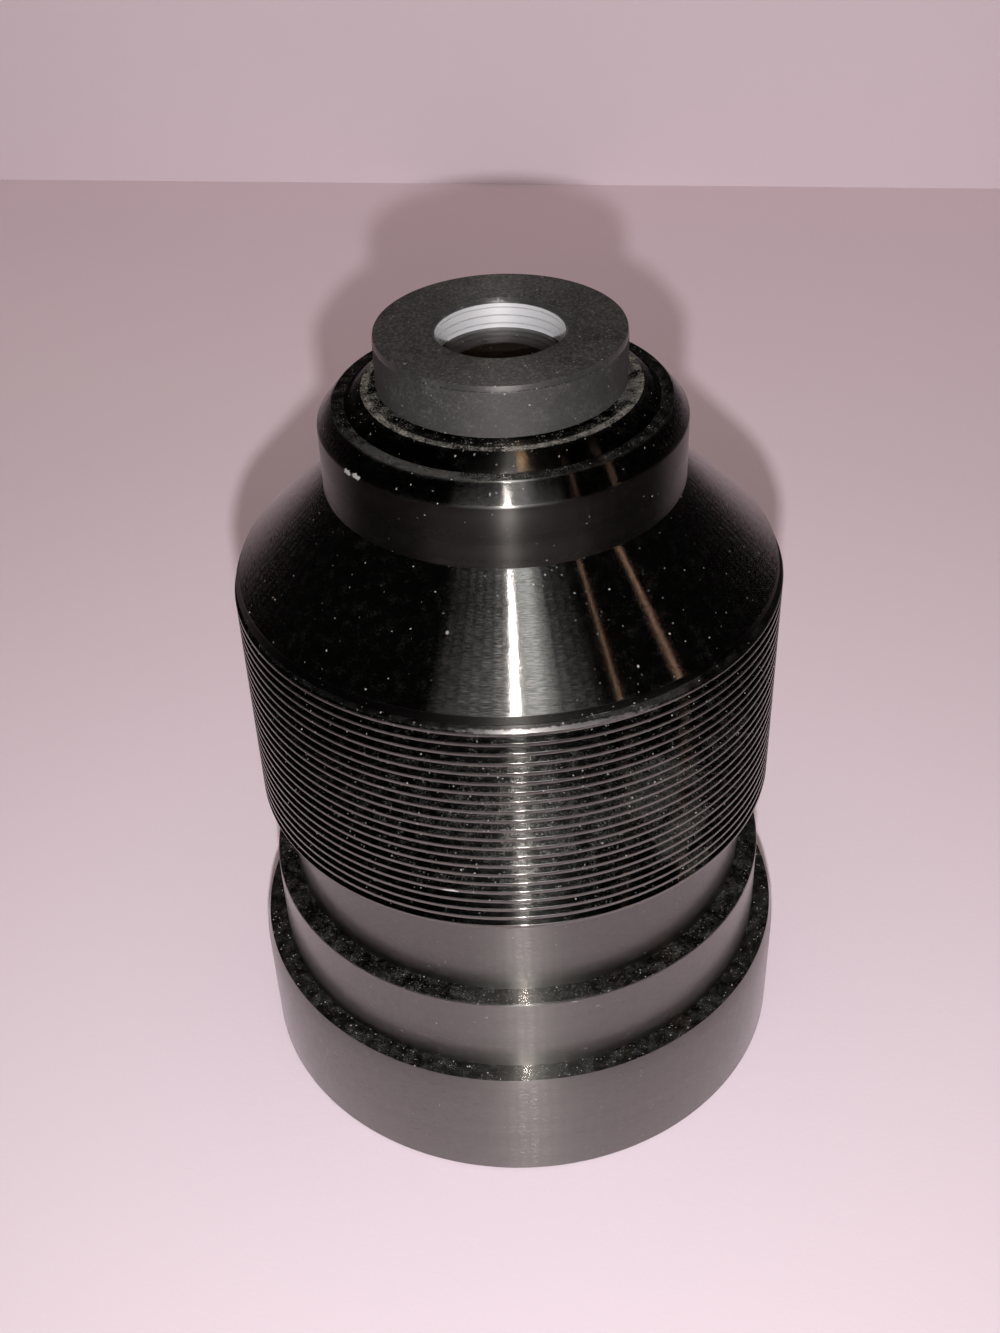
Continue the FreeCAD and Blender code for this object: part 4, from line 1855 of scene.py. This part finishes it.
BLACK = TurnedMetal(
    name="anodised_black",
    colour=(0.20, 0.192, 0.176),
    metallic=1.0,
    bands=(
        Band(46.0 * MM, 0.97, 0.36, 0.5, 3.4, coat=1.0),
        Band(78.4 * MM, 0.95, 0.14, 0.25, 0.6, coat=0.2),
        # Painted shade: the run-in between the thread and the cone keeps only 13 % of the colour.
        Band(80.25 * MM, 0.13, 0.42, 0.3, 0.5),
        Band(92.4 * MM, 0.66, 0.142, 0.35, 0.6, hatch=1.0),
        Band(100.48 * MM, 0.46, 0.28, 0.15, 0.0),
        # Painted highlight: the collar's broken top edge takes more of the colour than the collar below,
        # for a brighter line.
        Band(100.8 * MM, 0.60, 0.30, 0.3, 0.5),
        Band(102.85 * MM, 0.33, 0.17, 0.5, 1.0, hatch=0.5),
        # Painted highlight: above the chamfer the colour goes up to its full value, for the bright line on
        # the nose's edge.
        Band(110.0 * MM, 1.8, 0.30, 0.4, 2.0),
    ),
    flats=(Band(50.0 * MM, 0.65, 0.09, 0.8, 7.0), Band(110.0 * MM, 0.5, 0.22, 0.6, 10.0)),
    # Painted shade: the grooves' band keeps only 3 % of the colour in the thread's flanks and roots.
    grooves=Grooves(46.4 * MM, 78.4 * MM, 36.0 * MM, Band(78.4 * MM, 0.03, 0.2, 0.3, 0.3)),
    anisotropy=0.95,
    line_scale=3000.0,
    line_tone=0.06,
    dust=Dust(clumps=0.36, clump_strength=0.02, ledge_clumps=0.14, groove_clumps=0.15),
    spots=(
        Spot(azimuth=-53.6, height=100.5 * MM, turn=2.0, reach=0.34 * MM, ragged=2.6, grain=2200.0),
        Spot(azimuth=-49.6, height=100.6 * MM, turn=2.2, reach=0.28 * MM, ragged=2.8, grain=2600.0),
        Spot(azimuth=-14.3, height=52.4 * MM, turn=2.1, reach=0.3 * MM, ragged=1.0),
        Spot(azimuth=16.4, height=79.05 * MM, turn=3.0, reach=0.12 * MM, ragged=1.0),
        Spot(azimuth=8.0, height=78.45 * MM, turn=24.0, reach=0.22 * MM, ragged=1.4, strength=0.35),
        Spot(azimuth=10.6, height=30.9 * MM, turn=0.9, reach=0.08 * MM, strength=0.6),
        Spot(azimuth=15.8, height=29.1 * MM, turn=0.7, reach=0.08 * MM, strength=0.6),
        Spot(azimuth=-5.1, height=101.85 * MM, turn=0.4, reach=0.2 * MM, strength=0.35),
        Spot(azimuth=-15.3, height=86.9 * MM, turn=0.5, reach=0.2 * MM, strength=0.7),
        Spot(azimuth=26.0, height=82.5 * MM, turn=0.3, reach=0.16 * MM, bare=False),
    ),
    zones=(
        DustZone(azimuth=28.7, height=64.9 * MM, turn=9.0, reach=6.0 * MM, share=0.36),
        DustZone(azimuth=35.6, height=55.9 * MM, turn=8.0, reach=5.0 * MM, share=0.38),
        DustZone(azimuth=40.5, height=48.7 * MM, turn=7.0, reach=3.0 * MM, share=0.34),
        DustZone(azimuth=15.0, height=64.0 * MM, turn=75.0, reach=18.0 * MM, share=0.17),
        DustZone(azimuth=22.0, height=79.3 * MM, turn=25.0, reach=1.2 * MM, share=0.4),
        DustZone(azimuth=-35.0, height=103.0 * MM, turn=45.0, reach=0.5 * MM, share=0.3),
        DustZone(azimuth=0.0, height=25.0 * MM, turn=200.0, reach=14.0 * MM, share=0.10),
    ),
)
NOSE_BLACK = TurnedMetal(
    name="nose_black",
    colour=(0.20, 0.192, 0.176),
    metallic=1.0,
    bands=(Band(200.0 * MM, 0.16, 0.22, 0.2, 0.3),),
    flats=(Band(200.0 * MM, 0.5, 0.2, 0.5, 4.0),),
    anisotropy=0.95,
    dust=Dust(colour=(0.60, 0.55, 0.43), grains=0.03, ledge_grains=0.3, grain_scale=3200.0, clumps=0.34,
              clump_strength=0.05, ledge_clumps=0.3, film=0.48, film_scale=4500.0, film_strength=0.6,
              steep=0.8, inner=16.3 * MM),
    zones=(
        DustZone(azimuth=75.0, height=104.7 * MM, turn=38.0, reach=2.0 * MM, share=0.2),
        DustZone(azimuth=-70.0, height=104.7 * MM, turn=32.0, reach=2.0 * MM, share=0.15),
    ),
)
CAP_BLACK = TurnedMetal(
    name="matt_black",
    colour=(0.116, 0.110, 0.106),
    metallic=0.77,
    bands=(
        Band(111.0 * MM, 0.97, 0.80, 0.1, hatch=0.5),
        Band(111.25 * MM, 1.0, 0.26, 0.5, 3.0),
        Band(200.0 * MM, 1.0, 0.42, 0.3, 1.0),
    ),
    # Painted shade: the cap's level top keeps under half the colour of its side.
    flats=(Band(200.0 * MM, 0.46, 0.85, 0.1),),
    anisotropy=0.7,
    line_scale=2500.0,
    dust=Dust(grains=0.05, ledge_grains=0.07, flecks=0.012, clumps=0.42, clump_strength=0.09,
              ledge_clumps=0.09, film=0.62, film_scale=2600.0, film_strength=0.14),
)
BARE = TurnedMetal(
    name="bare_aluminium",
    colour=(0.82, 0.80, 0.785),
    metallic=0.5,
    bands=(Band(200.0 * MM, 1.0, 0.5, 0.2),),
    anisotropy=0.3,
)
RING_BLACK = TurnedMetal(
    name="ring_black",
    colour=(0.06, 0.06, 0.06),
    metallic=0.4,
    bands=(Band(200.0 * MM, 1.0, 0.5, 0.2),),
    anisotropy=0.3,
)
CELL_BLACK = TurnedMetal(
    name="cell_black",
    colour=(0.03, 0.03, 0.03),
    metallic=0.2,
    bands=(Band(200.0 * MM, 1.0, 0.6, 0.1),),
    anisotropy=0.0,
)
STOP_BLACK = TurnedMetal(
    name="stop_black",
    colour=(0.02, 0.02, 0.02),
    metallic=0.1,
    bands=(Band(200.0 * MM, 1.0, 0.7, 0.0),),
    anisotropy=0.0,
)
LAST_GLASS = Glass(
    name="last_coated_glass",
    colour=(0.20, 0.14, 0.10),
    index=1.12,
    transmission=0.93,
    coat=0.0,
    grains=0.03,
    mirror=0.5,
)
FRONT_GLASS = Glass(
    name="front_coated_glass", colour=(0.93, 0.95, 0.97), index=1.62, coat=0.4,
    coat_tint=(0.75, 0.85, 1.0), grains=0.01,
)
INNER_GLASS = Glass(name="inner_glass")

CARRIED = {
    Slot.RING: ("stack_ring", "cell_lock_ring", "stop_lens_ring", "middle_pair_ring", "rear_pair_ring"),
    Slot.CELL: ("middle_cell", "long_spacer", "stop_spacer"),
    Slot.STOP: ("aperture_stop",),
    Slot.CLEAR: (
        "second_meniscus", "field_lens", "stop_lens", "middle_flint", "middle_crown",
        "rear_flint", "rear_crown",
    ),
}


def dress_carried() -> None:
    """Gives the CAD nodes that stay, all inside the barrel, their finishes."""
    finishes = {
        Slot.RING: RING_BLACK, Slot.CELL: CELL_BLACK, Slot.STOP: STOP_BLACK, Slot.CLEAR: INNER_GLASS,
    }
    for slot, names in CARRIED.items():
        material = finishes[slot].build()
        for name in names:
            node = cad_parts[name]
            if not node.material_slots:
                node.data.materials.append(material)
            for holder in node.material_slots:
                holder.material = material
            log.info("%s: carried, %s", name, slot.value)


def main() -> None:
    """Builds every piece in order, then the studio."""
    logging.basicConfig(level=logging.INFO, format="%(name)s %(message)s")
    Barrel().build(BLACK)
    NosePiece().build(NOSE_BLACK)
    TipCap().build(CAP_BLACK)
    window = Window()
    window.sleeve(BARE)
    window.glass(LAST_GLASS)
    front = FrontGroup()
    front.glass(FRONT_GLASS)
    front.ring(RING_BLACK)
    dress_carried()
    Studio().build()


if __name__ == "__main__":
    main()
